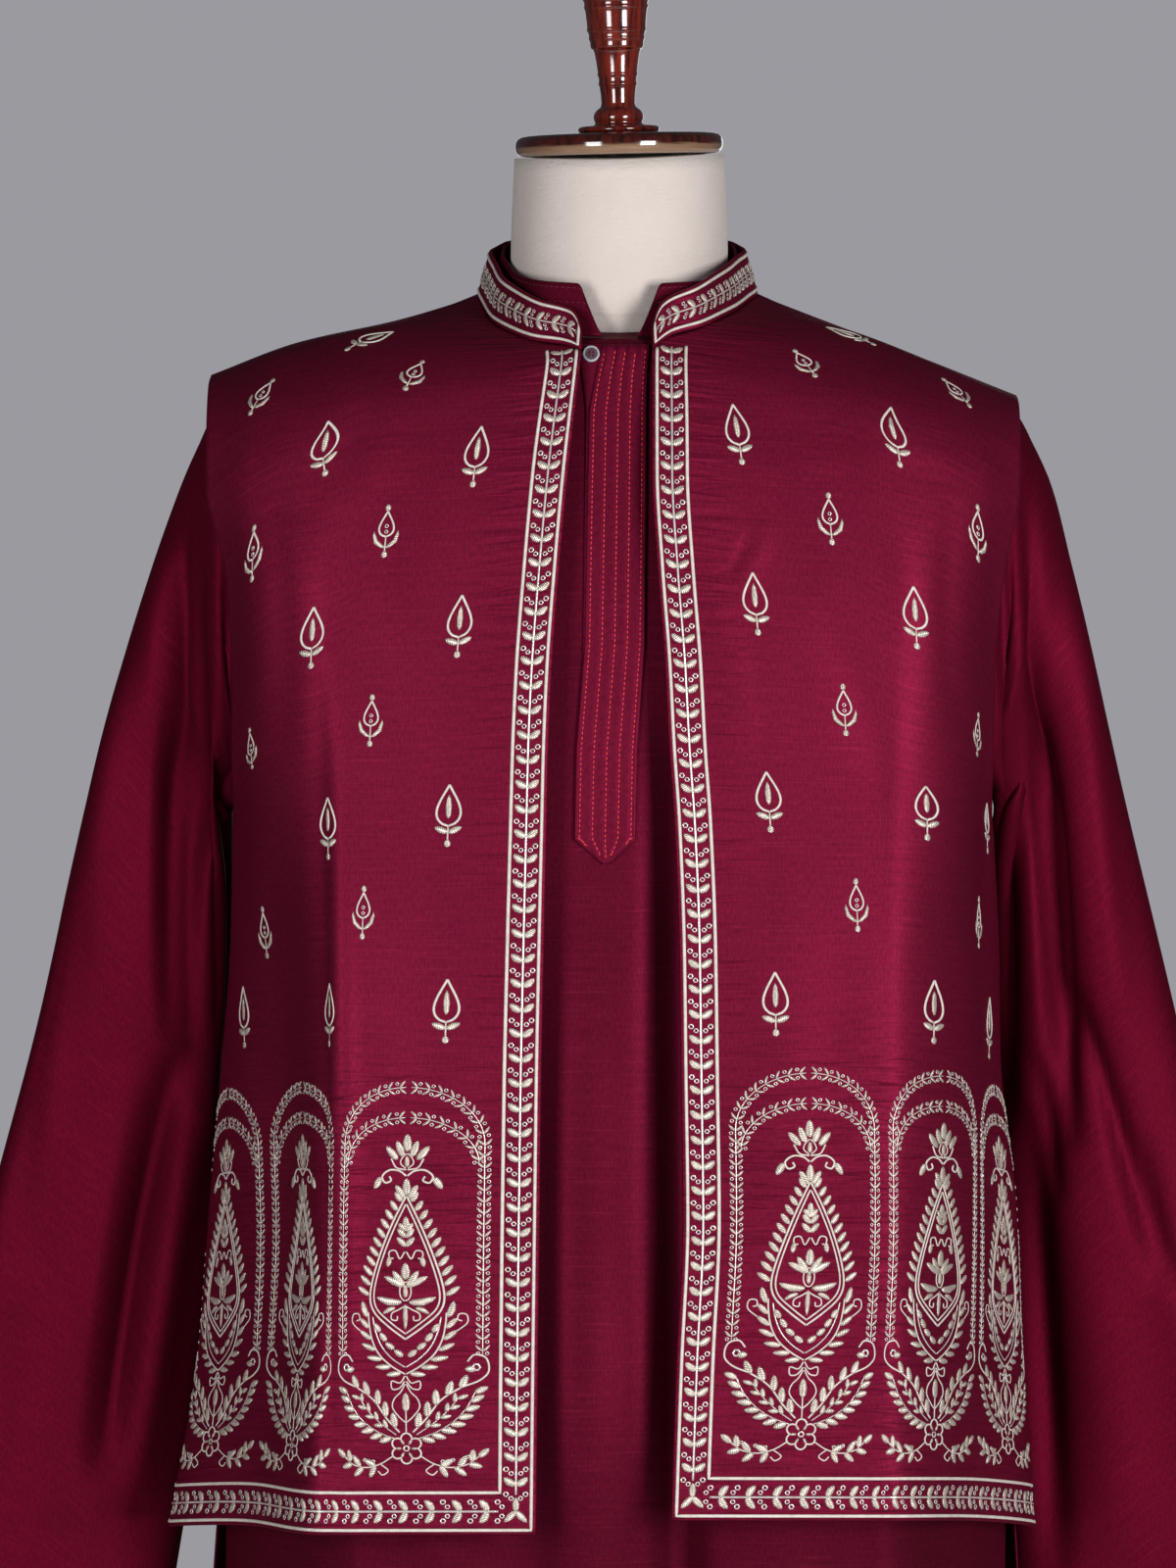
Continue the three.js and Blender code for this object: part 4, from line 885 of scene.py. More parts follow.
def thread_shade(colours, gloss, twist_mm, lustre=0.0):
    """Twisted thread: slanting plies as far apart as given, coloured with painted light along each ply and
    painted shade in the grooves between.
    """
    # colours: the painted shade of the grooves and the painted light of the plies
    dark, light = colours

    def shade(tree):
        run = add_node(tree, "ShaderNodeUVMap", uv_map="cloth")
        slant = add_node(tree, "ShaderNodeMapping", {"Vector": run.outputs["UV"], "Rotation": (0, 0, 0.7)})
        plies = add_node(tree, "ShaderNodeTexWave", {
            "Vector": slant.outputs["Vector"], "Scale": 0.314 / (twist_mm * MM), "Distortion": 0.6,
        }).outputs["Fac"]
        share = ramp(tree, maths(tree, "ADD", plies, object_noise(tree, (260, 260, 260))), 0.45, 1.35)
        return {
            "Base Color": between(tree, share, dark, light), "Roughness": gloss, "Metallic": lustre,
            "Normal": bump(tree, plies, 0.5, 0.0003), "Sheen Weight": 0.1, "Sheen Roughness": 0.4,
        }
    return shade


red_thread = surface_material("red polyester sewing thread", thread_shade(("#c8182c", "#f4484a"), 0.5, 0.6))
stitch_sunk = 0.1          # how deep the feet of stitches and cords stand in the cloth
placket_stitch_sunk = 0.4  # as deep as the rows are drawn in


def placket_line(share, low, top):
    """Places along the placket at a share of its width, between two heights."""
    z = np.linspace(low, top, 60)
    left, right = edges_at(placket_edges, z)
    return np.stack([left + (right - left) * share, z], -1)


def on_placket(places):
    """Points for places across and up the placket, lifted off it."""
    lift = places[:, 2] + placket_lift + strip_cloth / 2 - placket_stitch_sunk
    return on_kurta_front(places[:, 0], places[:, 1], lift)


row_feet, row_tops = [1134, 1129, 1127, 1129.5, 1134.5], 1415
stitches = [running_stitch(placket_line(share, foot, row_tops)) for share, foot in zip(stitch_rows, row_feet)]
point_line = [[-24.3, 1139.2], [-8.6, 1126.6], [7.2, 1139.2]]
stitches.append(running_stitch(point_line))
placket_stitches = sewn_piece("kurta_placket_stitches", stitches, on_placket, red_thread)
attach(placket_stitches, "root")


# ---- Kurta collar -----------------------------------------------------------------------------------
# A stiffened band of the same silk standing on the neckline, its front ends slanted back. Two rows of
# fine stitching run round it, near its top edge and above its seam.
def neckline_of(fronts, backs, middle_from):
    """The neckline as points, from the left front end round the back to the right front end."""
    def edge(net, start):
        last = net["columns"].shape[1] - 1
        height = np.linspace(start / last, 1, 7)
        return on_net(net, np.zeros(7), height)
    left, right = edge(fronts[-1], middle_from[0]), edge(fronts[1], middle_from[0])
    back = np.vstack([edge(backs[-1], middle_from[1])[::-1], edge(backs[1], middle_from[1])[1:]])
    return np.vstack([left, back[1:-1], right[::-1]])


def point_along(points, share):
    """The point at a share of the way along the smooth curve through some points."""
    knots = reach_along(points)
    return smooth_through(knots, points, share * knots[-1])


def on_collar(neckline, cut, share, rise, lift):
    """A collar's surface at a share of the way round and of its height, moved out by lift. It leans in
    as it rises, its height swells from the front ends as a quarter circle does, and it is lower there
    by the share taper, which fades over taper_run."""
    length = reach_along(neckline)[-1]
    inset = cut["slant"] * rise / length
    foot = point_along(neckline, inset + share * (1 - 2 * inset))
    from_end = np.minimum(share, 1 - share) * length
    near, away = np.clip(from_end / cut["rounded"], 0, 1), np.clip(from_end / cut["taper_run"], 0, 1)
    swell = cut["end_tall"] + (1 - cut["end_tall"]) * np.sqrt(1 - (1 - near) ** 2)
    height = cut["tall"] * swell * (1 - cut["taper"] * (1 - away) ** 2)
    lean = np.radians(cut["lean"])
    inward = np.array([0, neck_middle_y]) - foot[:, :2]
    inward /= np.linalg.norm(inward, axis=1, keepdims=True)
    along_rise = (rise * height)[:, None]
    flat = foot[:, :2] + inward * (along_rise * np.sin(lean) - np.reshape(lift, (-1, 1)) * np.cos(lean))
    up = cut["lifted"] + rise * height * np.cos(lean) + np.ravel(lift) * np.sin(lean)
    return np.column_stack([flat, foot[:, 2] + up])


def collar_grid(neckline, cut, rows, columns):
    """The collar's cloth as a grid, with its columns closer together towards the front ends."""
    even = np.linspace(0, 1, columns)
    eased = np.where(even < 0.5, (2 * even) ** 1.35 / 2, 1 - (2 - 2 * even) ** 1.35 / 2)
    rise, share = np.meshgrid(np.linspace(0, 1, rows), eased, indexing="ij")
    flat = on_collar(neckline, cut, share.ravel(), rise.ravel(), np.zeros(rise.size))
    return flat.reshape(rows, columns, 3)


def collar_places(neckline, cut, cloth):
    """A function that turns places along and up a collar, and lift, into points."""
    def place(places):
        share, rise = places[:, 0] / reach_along(neckline)[-1], places[:, 1] / cut["tall"]
        return on_collar(neckline, cut, share, rise, places[:, 2] + cloth / 2 - stitch_sunk)
    return place


# Millimetres, degrees of lean, and shares of the height: lifted is its foot's height off the seam, and
# rounded the length over which its front ends grow from end_tall.
kurta_collar_cut = {
    "tall": 29.5, "lean": 11.5, "lifted": 1.6, "rounded": 5.0, "end_tall": 0.72, "slant": 12.0,
    "taper": 0.0, "taper_run": 1.0,
}
kurta_collar_cloth, kurta_set_back = 1.8, 11.0
whole_neckline = neckline_of(kurta_front_nets, kurta_back_nets, (front_neck_row, back_neck_row))
back_share = kurta_set_back / reach_along(whole_neckline)[-1]
kurta_neckline = point_along(whole_neckline, np.linspace(back_share, 1 - back_share, 25))
kurta_collar = cloth_shell(
    "kurta_collar_band", collar_grid(kurta_neckline, kurta_collar_cut, 18, 170), kurta_collar_cloth,
    kurta_silk_painted_darker,
)
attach(kurta_collar, "root")
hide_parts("kurta_collar")
maroon_thread = surface_material("maroon sewing thread", thread_shade(("#3a0a18", "#7c1e38"), 0.5, 0.6))
collar_long = reach_along(kurta_neckline)[-1]
collar_rows = [
    running_stitch(
        np.stack([np.linspace(2, collar_long - 2, 200), np.full(200, up)], -1), 2.6, 1.2, 0.28, 0.24,
    ) for up in (27.0, 18.5)
]
collar_stitches = sewn_piece(
    "kurta_collar_stitches", collar_rows,
    collar_places(kurta_neckline, kurta_collar_cut, kurta_collar_cloth), maroon_thread,
)
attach(collar_stitches, "root")


# ---- Kurta button -----------------------------------------------------------------------------------
# One clear four-hole resin button, 9.6 mm across, sewn to the under placket with two dark crossed
# threads. The turned and drilled disc itself is kept, with a real finish.
def resin_shade(tree):
    """Cast polyester resin, polished: its sunk middle is painted with the dark tone of the cloth seen through
    the clear resin, within a pale rim 1.1 mm wide."""
    place = add_node(tree, "ShaderNodeTexCoord")
    away = add_node(tree, "ShaderNodeVectorMath", {
        0: place.outputs["Object"], 1: tuple(button_middle * MM),
    }, operation="DISTANCE")
    rim = ramp(tree, away.outputs["Value"], 0.0034, 0.0041)
    return {
        "Base Color": between(tree, rim, "#6d5560", "#ccd0d8"), "Roughness": 0.1,
        "Transmission Weight": 0.3, "IOR": 1.54,
    }


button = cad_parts["kurta_button"]
button_low, button_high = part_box("kurta_button")
button_middle = (np.array(button_low) + np.array(button_high)) / 2 / MM
button.data.materials.clear()
button.data.materials.append(surface_material("polished clear resin", resin_shade))
hole_reach, button_face = 1.55, 1.55
crosses = [
    [[button_middle[0] - hole_reach * 0.9, button_middle[2] + s * hole_reach * 0.7],
     [button_middle[0] + hole_reach * 0.9, button_middle[2] + s * hole_reach * 0.7]] for s in (-1, 1)
]
cross_lines = np.array([np.linspace(a, b, 5) for a, b in crosses])


def over_button(places):
    """Just in front of the button, on the line that the placket's cloth faces along."""
    lift = places[:, 2] + under_lift + strip_cloth / 2 + seam + button_face
    return on_kurta_front(places[:, 0], places[:, 1], lift)


button_thread = sewn_piece("kurta_button_thread", [ribs(cross_lines, 0.3, 0.3)], over_button, maroon_thread)
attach(button_thread, "root")


# ---- Kurta sleeves ----------------------------------------------------------------------------------
# Long, wide sleeves of the shot silk, sewn to the dropped armholes and hanging a little apart from the
# body, empty and slightly flattened. Each has a turned hem held by a row of red stitches.
armhole_step = 1.3
# Rings from the armhole to the hem: outer end x, z; inner end x, z; middle y; half depth; and how far
# the inner end lies further back than the outer one.
sleeve_rings = {
    -1: np.array([
        [-238.5, 1376, -221, 1157, 8, 56, 0], [-256, 1337, -226, 1149, 9, 55, 8],
        [-275, 1282, -226, 1124, 10, 50, 20], [-290, 1232, -223.5, 1090, 12, 44, 34],
        [-315, 1135, -223, 1032, 16, 41, 40], [-340, 1025, -228, 957, 24, 38, 38],
        [-366, 928, -236, 878, 32, 35, 34], [-392, 820, -248, 790, 40, 31, 28],
        [-422, 699, -266, 678, 46, 24, 16],
    ]),
    1: np.array([
        [234.5, 1376, 218.5, 1157, 8, 56, 0], [251, 1340, 220, 1149, 9, 55, 8],
        [263, 1292, 219, 1124, 10, 50, 20], [278, 1228, 220, 1090, 12, 44, 34],
        [297, 1146, 220, 1036, 16, 41, 38], [322, 1044, 223.5, 977, 24, 38, 36],
        [346, 942, 225, 897, 32, 35, 32], [370, 836, 229, 806, 42, 31, 26],
        [399, 700, 235, 686, 50, 24, 14],
    ]),
}
# Folds: place round the ring in degrees (0 outside, 90 front, 180 inside), depth, width in degrees, and
# the stretch of the sleeve, from 0 at the armhole to 1 at the hem.
sleeve_folds = {
    -1: [
        (128, 9, 20, 0.12, 0.72), (160, -8, 18, 0.15, 0.66), (70, -5, 30, 0.45, 1.0), (250, -6, 30, 0.3, 0.9),
    ],
    1: [
        (112, -9, 20, 0.08, 0.68), (146, 8, 20, 0.12, 0.6), (74, 5, 26, 0.3, 0.8), (262, -6, 30, 0.25, 0.85),
    ],
}


def sleeve_grid(side, rows, columns):
    """The armhole's own edge, then rings of an ellipse between the outline's two ends, pushed in and
    out by the folds; a smooth curve runs down through them."""
    half = columns // 2
    part = np.arange(columns)
    edges = []
    for nets, from_start in ((kurta_front_nets, part), (kurta_back_nets, columns - part)):
        low = kurta_underarm / (nets[side]["columns"].shape[1] - 1)
        height = 1 - np.clip(from_start / half, 0, 1) * (1 - low)
        edges.append(on_net(nets[side], np.ones(columns), height))
    armhole = np.where((part <= half)[:, None], *edges) + [side * armhole_step, 0, 0]
    rings = sleeve_rings[side]
    at = np.linspace(0, 1, 27)
    values = smooth_through(np.arange(len(rings)), rings.astype(float), at * (len(rings) - 1))
    outer = np.stack([values[:, 0], values[:, 4], values[:, 1]], -1)[:, None]
    inner = np.stack([values[:, 2], values[:, 4], values[:, 3]], -1)[:, None]
    turn = 2 * np.pi * part / columns
    middle = (outer + inner) / 2
    points = middle + (outer - middle) * np.cos(turn)[:, None]
    bulge = np.sign(np.sin(turn)) * np.abs(np.sin(turn)) ** 0.75
    points[..., 1] += values[:, 6:7] * (1 - np.cos(turn)) / 2 - values[:, 5:6] * bulge
    push = np.zeros(points.shape[:2])
    for around_at, deep, wide, start, stop in sleeve_folds[side]:
        span = np.clip((at - start) / (stop - start), 0, 1)
        bell = np.exp(-((np.degrees(turn) - around_at) / wide) ** 2)
        push += deep * np.sin(np.pi * span)[:, None] ** 0.8 * bell
    outward = (points - middle) / np.linalg.norm(points - middle, axis=2, keepdims=True)
    points += outward * push[..., None]
    rings_all = np.concatenate([armhole[None], points])
    knots = summed(np.linalg.norm(np.diff(rings_all, axis=0), axis=2).mean(1))
    columns_first = np.moveaxis(rings_all, 0, 1)
    down = smooth_through(knots, columns_first, np.linspace(0, knots[-1], rows))
    return np.moveaxis(down, 0, 1)


# Creases seen from the front and from the back, as for the body. Beside the jacket each sleeve stands
# forward in one long narrow fold with a sharp valley outside it, which runs on as a broad trough.
sleeve_creases = {
    (-1, "front"): [
        (-236, 1345, -240, 950, 0, 9, 6), (-246, 1352, -247, 975, 0, 15, -19),
        (-259, 1352, -263, 1010, 0, 6, -11), (-222, 1340, -227, 950, 0, 6, -16),
        (-288, 1330, -304, 1060, 2, 12, 4), (-260, 1010, -304, 750, 3, 12, -15),
        (-256, 1010, -299, 765, 3, 6, -7), (-242, 1010, -284, 745, 3, 10, 6),
        (-288, 1010, -330, 730, 0, 15, 6), (-318, 1100, -352, 880, 6, 12, -4),
        (-350, 860, -390, 690, 0, 14, -5), (-300, 1130, -322, 960, 5, 12, -3),
    ],
    (-1, "back"): [
        (-250, 1340, -280, 1000, 4, 12, 5), (-262, 1200, -300, 860, 0, 14, -8),
        (-240, 1180, -262, 1080, 3, 6, -3), (-330, 1000, -372, 700, 0, 18, 6),
    ],
    (1, "front"): [
        (238, 1335, 246, 960, 0, 7, 5), (235, 1345, 264, 950, 2, 6, -15), (240, 1345, 268, 950, 2, 12, -5),
        (219, 1345, 223, 950, 0, 8, -20), (262, 1330, 290, 1010, 3, 12, 5),
        (262, 1050, 318, 870, -2, 7, -12), (244, 1010, 258, 920, 0, 5, -6),
        (240, 980, 258, 690, 0, 10, -12), (262, 960, 296, 700, -4, 20, 7), (304, 960, 330, 860, 2, 5, -7),
        (318, 930, 350, 720, 0, 12, 4),
    ],
    (1, "back"): [
        (246, 1340, 270, 1010, -4, 12, 5), (256, 1200, 286, 880, 0, 14, -8),
        (234, 1180, 252, 1090, -3, 6, -3), (310, 1000, 350, 700, 0, 18, 6),
    ],
}
seam_share = 0.16          # creases grow from nothing over this share of the sleeve, below its seam


def creased_sleeve(side, rows, columns):
    """The sleeve's grid with its creases pushed in along each half's own way out."""
    grid = sleeve_grid(side, rows, columns)
    front, back = [
        crease_depth(grid[..., 0], grid[..., 2], sleeve_creases[side, half]) for half in ("front", "back")
    ]
    outward = outward_of(grid, side, wrap=True)
    facing = np.clip(-outward[..., 1] * 1.6, -1, 1)
    fade = np.sin(np.pi / 2 * np.clip(np.arange(rows) / rows / seam_share, 0, 1))[:, None] ** 2
    push = fade * (front * np.clip(facing, 0, 1) + back * np.clip(-facing, 0, 1))
    return grid + outward * push[..., None]


def near_hem(grid, outward):
    """A function that turns places on a sleeve, millimetres round its hem, up from it and lift, into
    points, and the hem's length."""
    rows, columns, _ = grid.shape
    reach = reach_along(np.vstack([grid[-1], grid[-1:, 0]]))
    step = np.linalg.norm(grid[-1] - grid[-2], axis=1).mean()
    way_out = outward_of(grid, outward, wrap=True)
    skin = grid + way_out * (kurta_cloth / 2)

    def place(flat):
        turn = np.interp(flat[:, 0], reach, np.arange(columns + 1)) % columns
        row = rows - 1 - flat[:, 1] / step
        left, low = np.floor(turn).astype(int), np.floor(row).astype(int)
        over, up = (turn - left)[:, None], (row - low)[:, None]
        right, high = (left + 1) % columns, np.minimum(low + 1, rows - 1)
        on_skin = (skin[low, left] * (1 - over) + skin[low, right] * over) * (1 - up)
        on_skin += (skin[high, left] * (1 - over) + skin[high, right] * over) * up
        return on_skin + way_out[low, left] * flat[:, 2:3]
    return place, reach[-1]


# The same silk painted lighter: a lit copy of the body's silk, with painted light for the brighter light on
# the sleeves.
sleeve_silk_painted_lighter = surface_material(
    "shot dupion silk of the sleeves", silk_shade("#560a1f", "#6b0e28", "#8c2341", 0.62, 0.56),
)
hem_row_up = 12.0
for side, word in ((-1, "left"), (1, "right")):
    grid = creased_sleeve(side, 144, 98)
    sleeve = cloth_shell(f"kurta_sleeve_{word}_cloth", grid, kurta_cloth, sleeve_silk_painted_lighter, -side, wrap=True)
    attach(sleeve, "root")
    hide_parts(f"kurta_sleeve_{word}")
    place, hem_long = near_hem(grid, side)
    hem_line = np.stack([np.linspace(0, hem_long, 300), np.full(300, hem_row_up)], -1)
    hem_row = running_stitch(hem_line, 3.0, 1.4, 0.36, 0.4)
    stitches = sewn_piece(f"kurta_sleeve_{word}_stitches", [hem_row], place, red_thread)
    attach(stitches, "root")


# ---- Jacket back and fronts -------------------------------------------------------------------------
# A sleeveless hip-length jacket of magenta dupion silk fused to its lining, open down the front with
# plain edges: two fronts and a back, sewn at the shoulders and the sides, with bound armholes.
jacket_cloth = 2.0
jacket_underarm = 5
# Half sections from the hem up: open edge, turn, flank and side, or armhole edge above the underarm.
jacket_left_half = np.array([
    [[-48, -150, 750], [-165, -151, 750], [-211, -78, 746], [-261, -3, 736]],
    [[-47, -149, 842], [-163, -150, 842], [-193, -82, 841], [-244, -1, 836]],
    [[-46, -148, 925], [-162, -149, 925], [-188, -82, 924], [-237, 0, 922]],
    [[-45, -147, 1004], [-160, -146, 1004], [-188, -82, 1004], [-229, 0, 1003]],
    [[-43.5, -145, 1080], [-158, -142, 1080], [-191, -85, 1080], [-222, 0, 1079]],
    [[-42, -142, 1146], [-158, -137, 1146], [-195, -90, 1144], [-221, 0, 1140]],
    [[-41, -140, 1190], [-160, -134, 1190], [-199, -95, 1188], [-220, -50, 1176]],
    [[-39, -137, 1236], [-162, -130, 1236], [-202, -100, 1232], [-220, -66, 1224]],
    [[-35, -131, 1290], [-164, -125, 1290], [-206, -103, 1286], [-223, -77, 1281]],
    [[-30, -122, 1346], [-160, -116, 1345], [-210, -98, 1340], [-236, -74, 1336]],
])
jacket_right_half = np.array([
    [[29, -150, 758], [149, -151, 758], [200, -88, 750], [240.5, 0, 735]],
    [[32, -149, 845], [150, -150, 845], [196, -86, 843], [233.5, 1, 838]],
    [[35.5, -148, 925], [151, -148, 925], [193, -86, 924], [230, 1, 922]],
    [[34.5, -147, 1004], [151, -145, 1004], [191, -88, 1004], [221, 1, 1003]],
    [[33.5, -145, 1080], [151, -141, 1080], [190, -90, 1080], [219, 0, 1079]],
    [[31, -142, 1146], [152, -136, 1146], [191, -93, 1144], [215.5, 0, 1140]],
    [[28, -139.5, 1190], [153, -133, 1190], [193, -95, 1188], [213, -50, 1176]],
    [[25.5, -137, 1238], [154, -130, 1237], [195, -99, 1234], [213, -66, 1226]],
    [[21.5, -131, 1291], [156, -125, 1290], [198, -103, 1286], [218, -77, 1282]],
    [[18.5, -122, 1347], [154, -116, 1344], [204, -98, 1338], [228, -74, 1334]],
])
jacket_necks = {
    -1: [[-22.5, -99, 1414], [-48, -84, 1419.5], [-73, -46, 1432.5], [-81.5, shoulder_y, 1450]],
    1: [[18.8, -99, 1415], [46, -84, 1427.5], [67, -47, 1439], [79.5, shoulder_y, 1451]],
}
jacket_ridges = {
    -1: [[-129, 1436], [-187, 1423], [-237.6, 1404]], 1: [[125, 1433.5], [180, 1412.5], [231.4, 1392]],
}
# The back's own middle, turn, flank and armhole edge, for one half; its side seam is the front's.
jacket_back_half = np.array([
    [[0, 146, 744], [150, 143, 744], [208, 86, 742]], [[0, 142, 840], [148, 139, 840], [202, 82, 839]],
    [[0, 138, 925], [146, 135, 925], [197, 80, 924]], [[0, 133, 1004], [146, 130, 1004], [191, 80, 1004]],
    [[0, 129, 1080], [148, 125, 1080], [190, 80, 1080]], [[0, 128, 1146], [150, 123, 1146], [191, 86, 1144]],
    [[0, 128, 1190], [151, 122, 1190], [194, 97, 1188]], [[0, 127, 1236], [152, 120, 1236], [196, 104, 1232]],
    [[0, 125, 1290], [151, 118, 1290], [198, 106, 1286]], [[0, 118, 1346], [146, 110, 1345], [203, 98, 1340]],
], float)
jacket_back_armhole = np.array([[215, 60, 1176], [216, 80, 1224], [220, 88, 1281], [230, 82, 1336]], float)
jacket_back_neck = np.array([[0, 101, 1408], [0, 80, 1461], [46, 69, 1460], [71, 44, 1457.5]], float)
jacket_front_nets = {
    side: panel_net(half, jacket_necks[side], jacket_ridges[side], jacket_underarm, side)
    for side, half in ((-1, jacket_left_half), (1, jacket_right_half))
}
jacket_back_nets = {}
for side, half in ((-1, jacket_left_half), (1, jacket_right_half)):
    own = np.array([side, 1, 1])
    sides = np.vstack([half[:6, 3], jacket_back_armhole * own])
    sections = np.concatenate([jacket_back_half * own, sides[:, None]], axis=1)
    neck = np.vstack([jacket_back_neck * own, jacket_necks[side][-1]])
    jacket_back_nets[side] = panel_net(
        sections, neck, jacket_ridges[side], jacket_underarm, -side, back_neck_row,
    )

# Creases as for the kurta. The left front has a sharp upright fold before its side; the right one a
# short slanting crease on the chest. The rest are soft hanging folds.
jacket_front_creases = [
    (-157, 1200, -151, 744, 0, 7, 2.2), (-169, 1240, -163, 744, 0, 6, -3.4),
    (-100, 1180, -96, 760, 6, 24, 1.6), (-68, 1100, -72, 800, 0, 16, -1.2),
    (-130, 1060, -128, 800, 0, 18, -1.4), (-196, 1320, -206, 755, 2, 19, 9),
    (-120, 1385, -170, 1270, 8, 14, 1.8), (-196, 1330, -188, 1180, -3, 8, -1.6),
    (-150, 1330, -120, 1180, 10, 18, -1.2), (76, 1312, 61, 1286, 0, 2.6, -1.7),
    (84, 1318, 66, 1280, 0, 7, 1.0), (96, 1130, 92, 770, 4, 26, 1.8), (60, 1080, 58, 800, 0, 15, -1.2),
    (140, 1100, 142, 760, 0, 16, 2.2), (158, 1150, 160, 750, 0, 9, -0.8), (184, 1340, 196, 755, 4, 20, 9),
    (210, 1060, 222, 760, 0, 9, -1.8), (124, 1380, 168, 1250, -8, 13, 1.6),
    (188, 1340, 184, 1190, 4, 8, -1.8), (110, 1270, 150, 1160, -6, 12, -1.3),
    (44, 1300, 70, 1180, -4, 12, 0.9),
]
jacket_back_creases = [
    (-70, 1180, -76, 760, 4, 26, 2.4), (-20, 1120, -16, 770, 0, 20, -1.8), (34, 1150, 40, 760, -3, 24, 2.2),
    (96, 1120, 104, 760, 0, 22, -2.2), (150, 1150, 160, 760, 0, 12, 2.2),
    (-130, 1140, -136, 760, 0, 16, -2.4), (-168, 1180, -176, 760, 0, 9, 2.4),
    (-60, 1380, -110, 1260, 6, 16, 1.6), (64, 1380, 118, 1250, -6, 16, -1.5),
]
jacket_silk = surface_material(
    "magenta dupion silk", silk_shade("#64112b", "#781834", "#92284a", 0.54, 0.48, 0.85),
)
jacket_pieces = {}
for side, word in ((-1, "left"), (1, "right")):
    grid = cloth_grid(jacket_front_nets[side], 160, 78, jacket_front_creases, seam_gaps)
    piece = cloth_shell(f"jacket_front_{word}_cloth", grid, jacket_cloth, jacket_silk, side)
    jacket_pieces[f"jacket_front_{word}"] = piece
back_halves = [cloth_grid(jacket_back_nets[s], 110, 42, jacket_back_creases, seam_gaps) for s in (-1, 1)]
jacket_pieces["jacket_back"] = cloth_shell(
    "jacket_back_cloth", both_halves(*back_halves), jacket_cloth, jacket_silk, -1, middle=41,
)
for node, piece in jacket_pieces.items():
    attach(piece, "root")
    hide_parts(node)


# ---- Jacket collar ----------------------------------------------------------------------------------
# A stiffened band collar of the same silk, standing on the neckline, with rounded front ends that meet
# the open edges.
jacket_collar_cut = {
    "tall": 25.5, "lean": 16.0, "lifted": 2.0, "rounded": 10.0, "end_tall": 0.3, "slant": 0.0,
    "taper": 0.24, "taper_run": 80.0,
}
jacket_collar_cloth = 2.4
jacket_neckline = neckline_of(jacket_front_nets, jacket_back_nets, (front_neck_row, back_neck_row))
jacket_collar = cloth_shell(
    "jacket_collar_band", collar_grid(jacket_neckline, jacket_collar_cut, 16, 180), jacket_collar_cloth,
    jacket_silk,
)
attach(jacket_collar, "root")
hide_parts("jacket_collar")


# ---- Jacket embroidery ------------------------------------------------------------------------------
# Satin-stitched leaves and couched cords in ivory and pale grey viscose thread, with small silver cup
# sequins each sewn down singly. A leafy vine between two cords runs down the open edges and round the
# hem; above it stand arches with a tree in each, and small drop sprigs are scattered over the rest.
def bent(points, count=30):
    """A smooth path through places: cubic pieces whose slope at each place is that of the line between
    its two neighbours."""
    points = np.asarray(points, float)
    knots = reach_along(points)[:, None]
    padded, spread = np.vstack([points[:1], points, points[-1:]]), np.vstack([knots[:1], knots, knots[-1:]])
    slopes = (padded[2:] - padded[:-2]) / (spread[2:] - spread[:-2])
    at = np.linspace(0, knots[-1, 0], count)
    i = np.minimum(np.searchsorted(knots[1:, 0], at), len(points) - 2)
    width = knots[i + 1] - knots[i]
    share = (at[:, None] - knots[i]) / width
    return cubic(share, width, points[i], slopes[i], points[i + 1], slopes[i + 1])


def along_path(path, shares):
    """Places at shares of a path's length, and the path's course there, over 0.6 mm to either side."""
    reach = reach_along(path)
    at = np.asarray(shares, float) * reach[-1]
    place = lambda d: np.stack([np.interp(d, reach, path[:, 0]), np.interp(d, reach, path[:, 1])], -1)
    course = place(np.minimum(at + 0.6, reach[-1])) - place(np.maximum(at - 0.6, 0))
    return place(at), course / np.linalg.norm(course, axis=1, keepdims=True)


# On a vine: pitches before the first pair of leaves, how far leaves stand off the stem, and their bow as
# a share of their width.
vine_start, vine_clear, vine_bow = 0.4, 0.25, 0.14


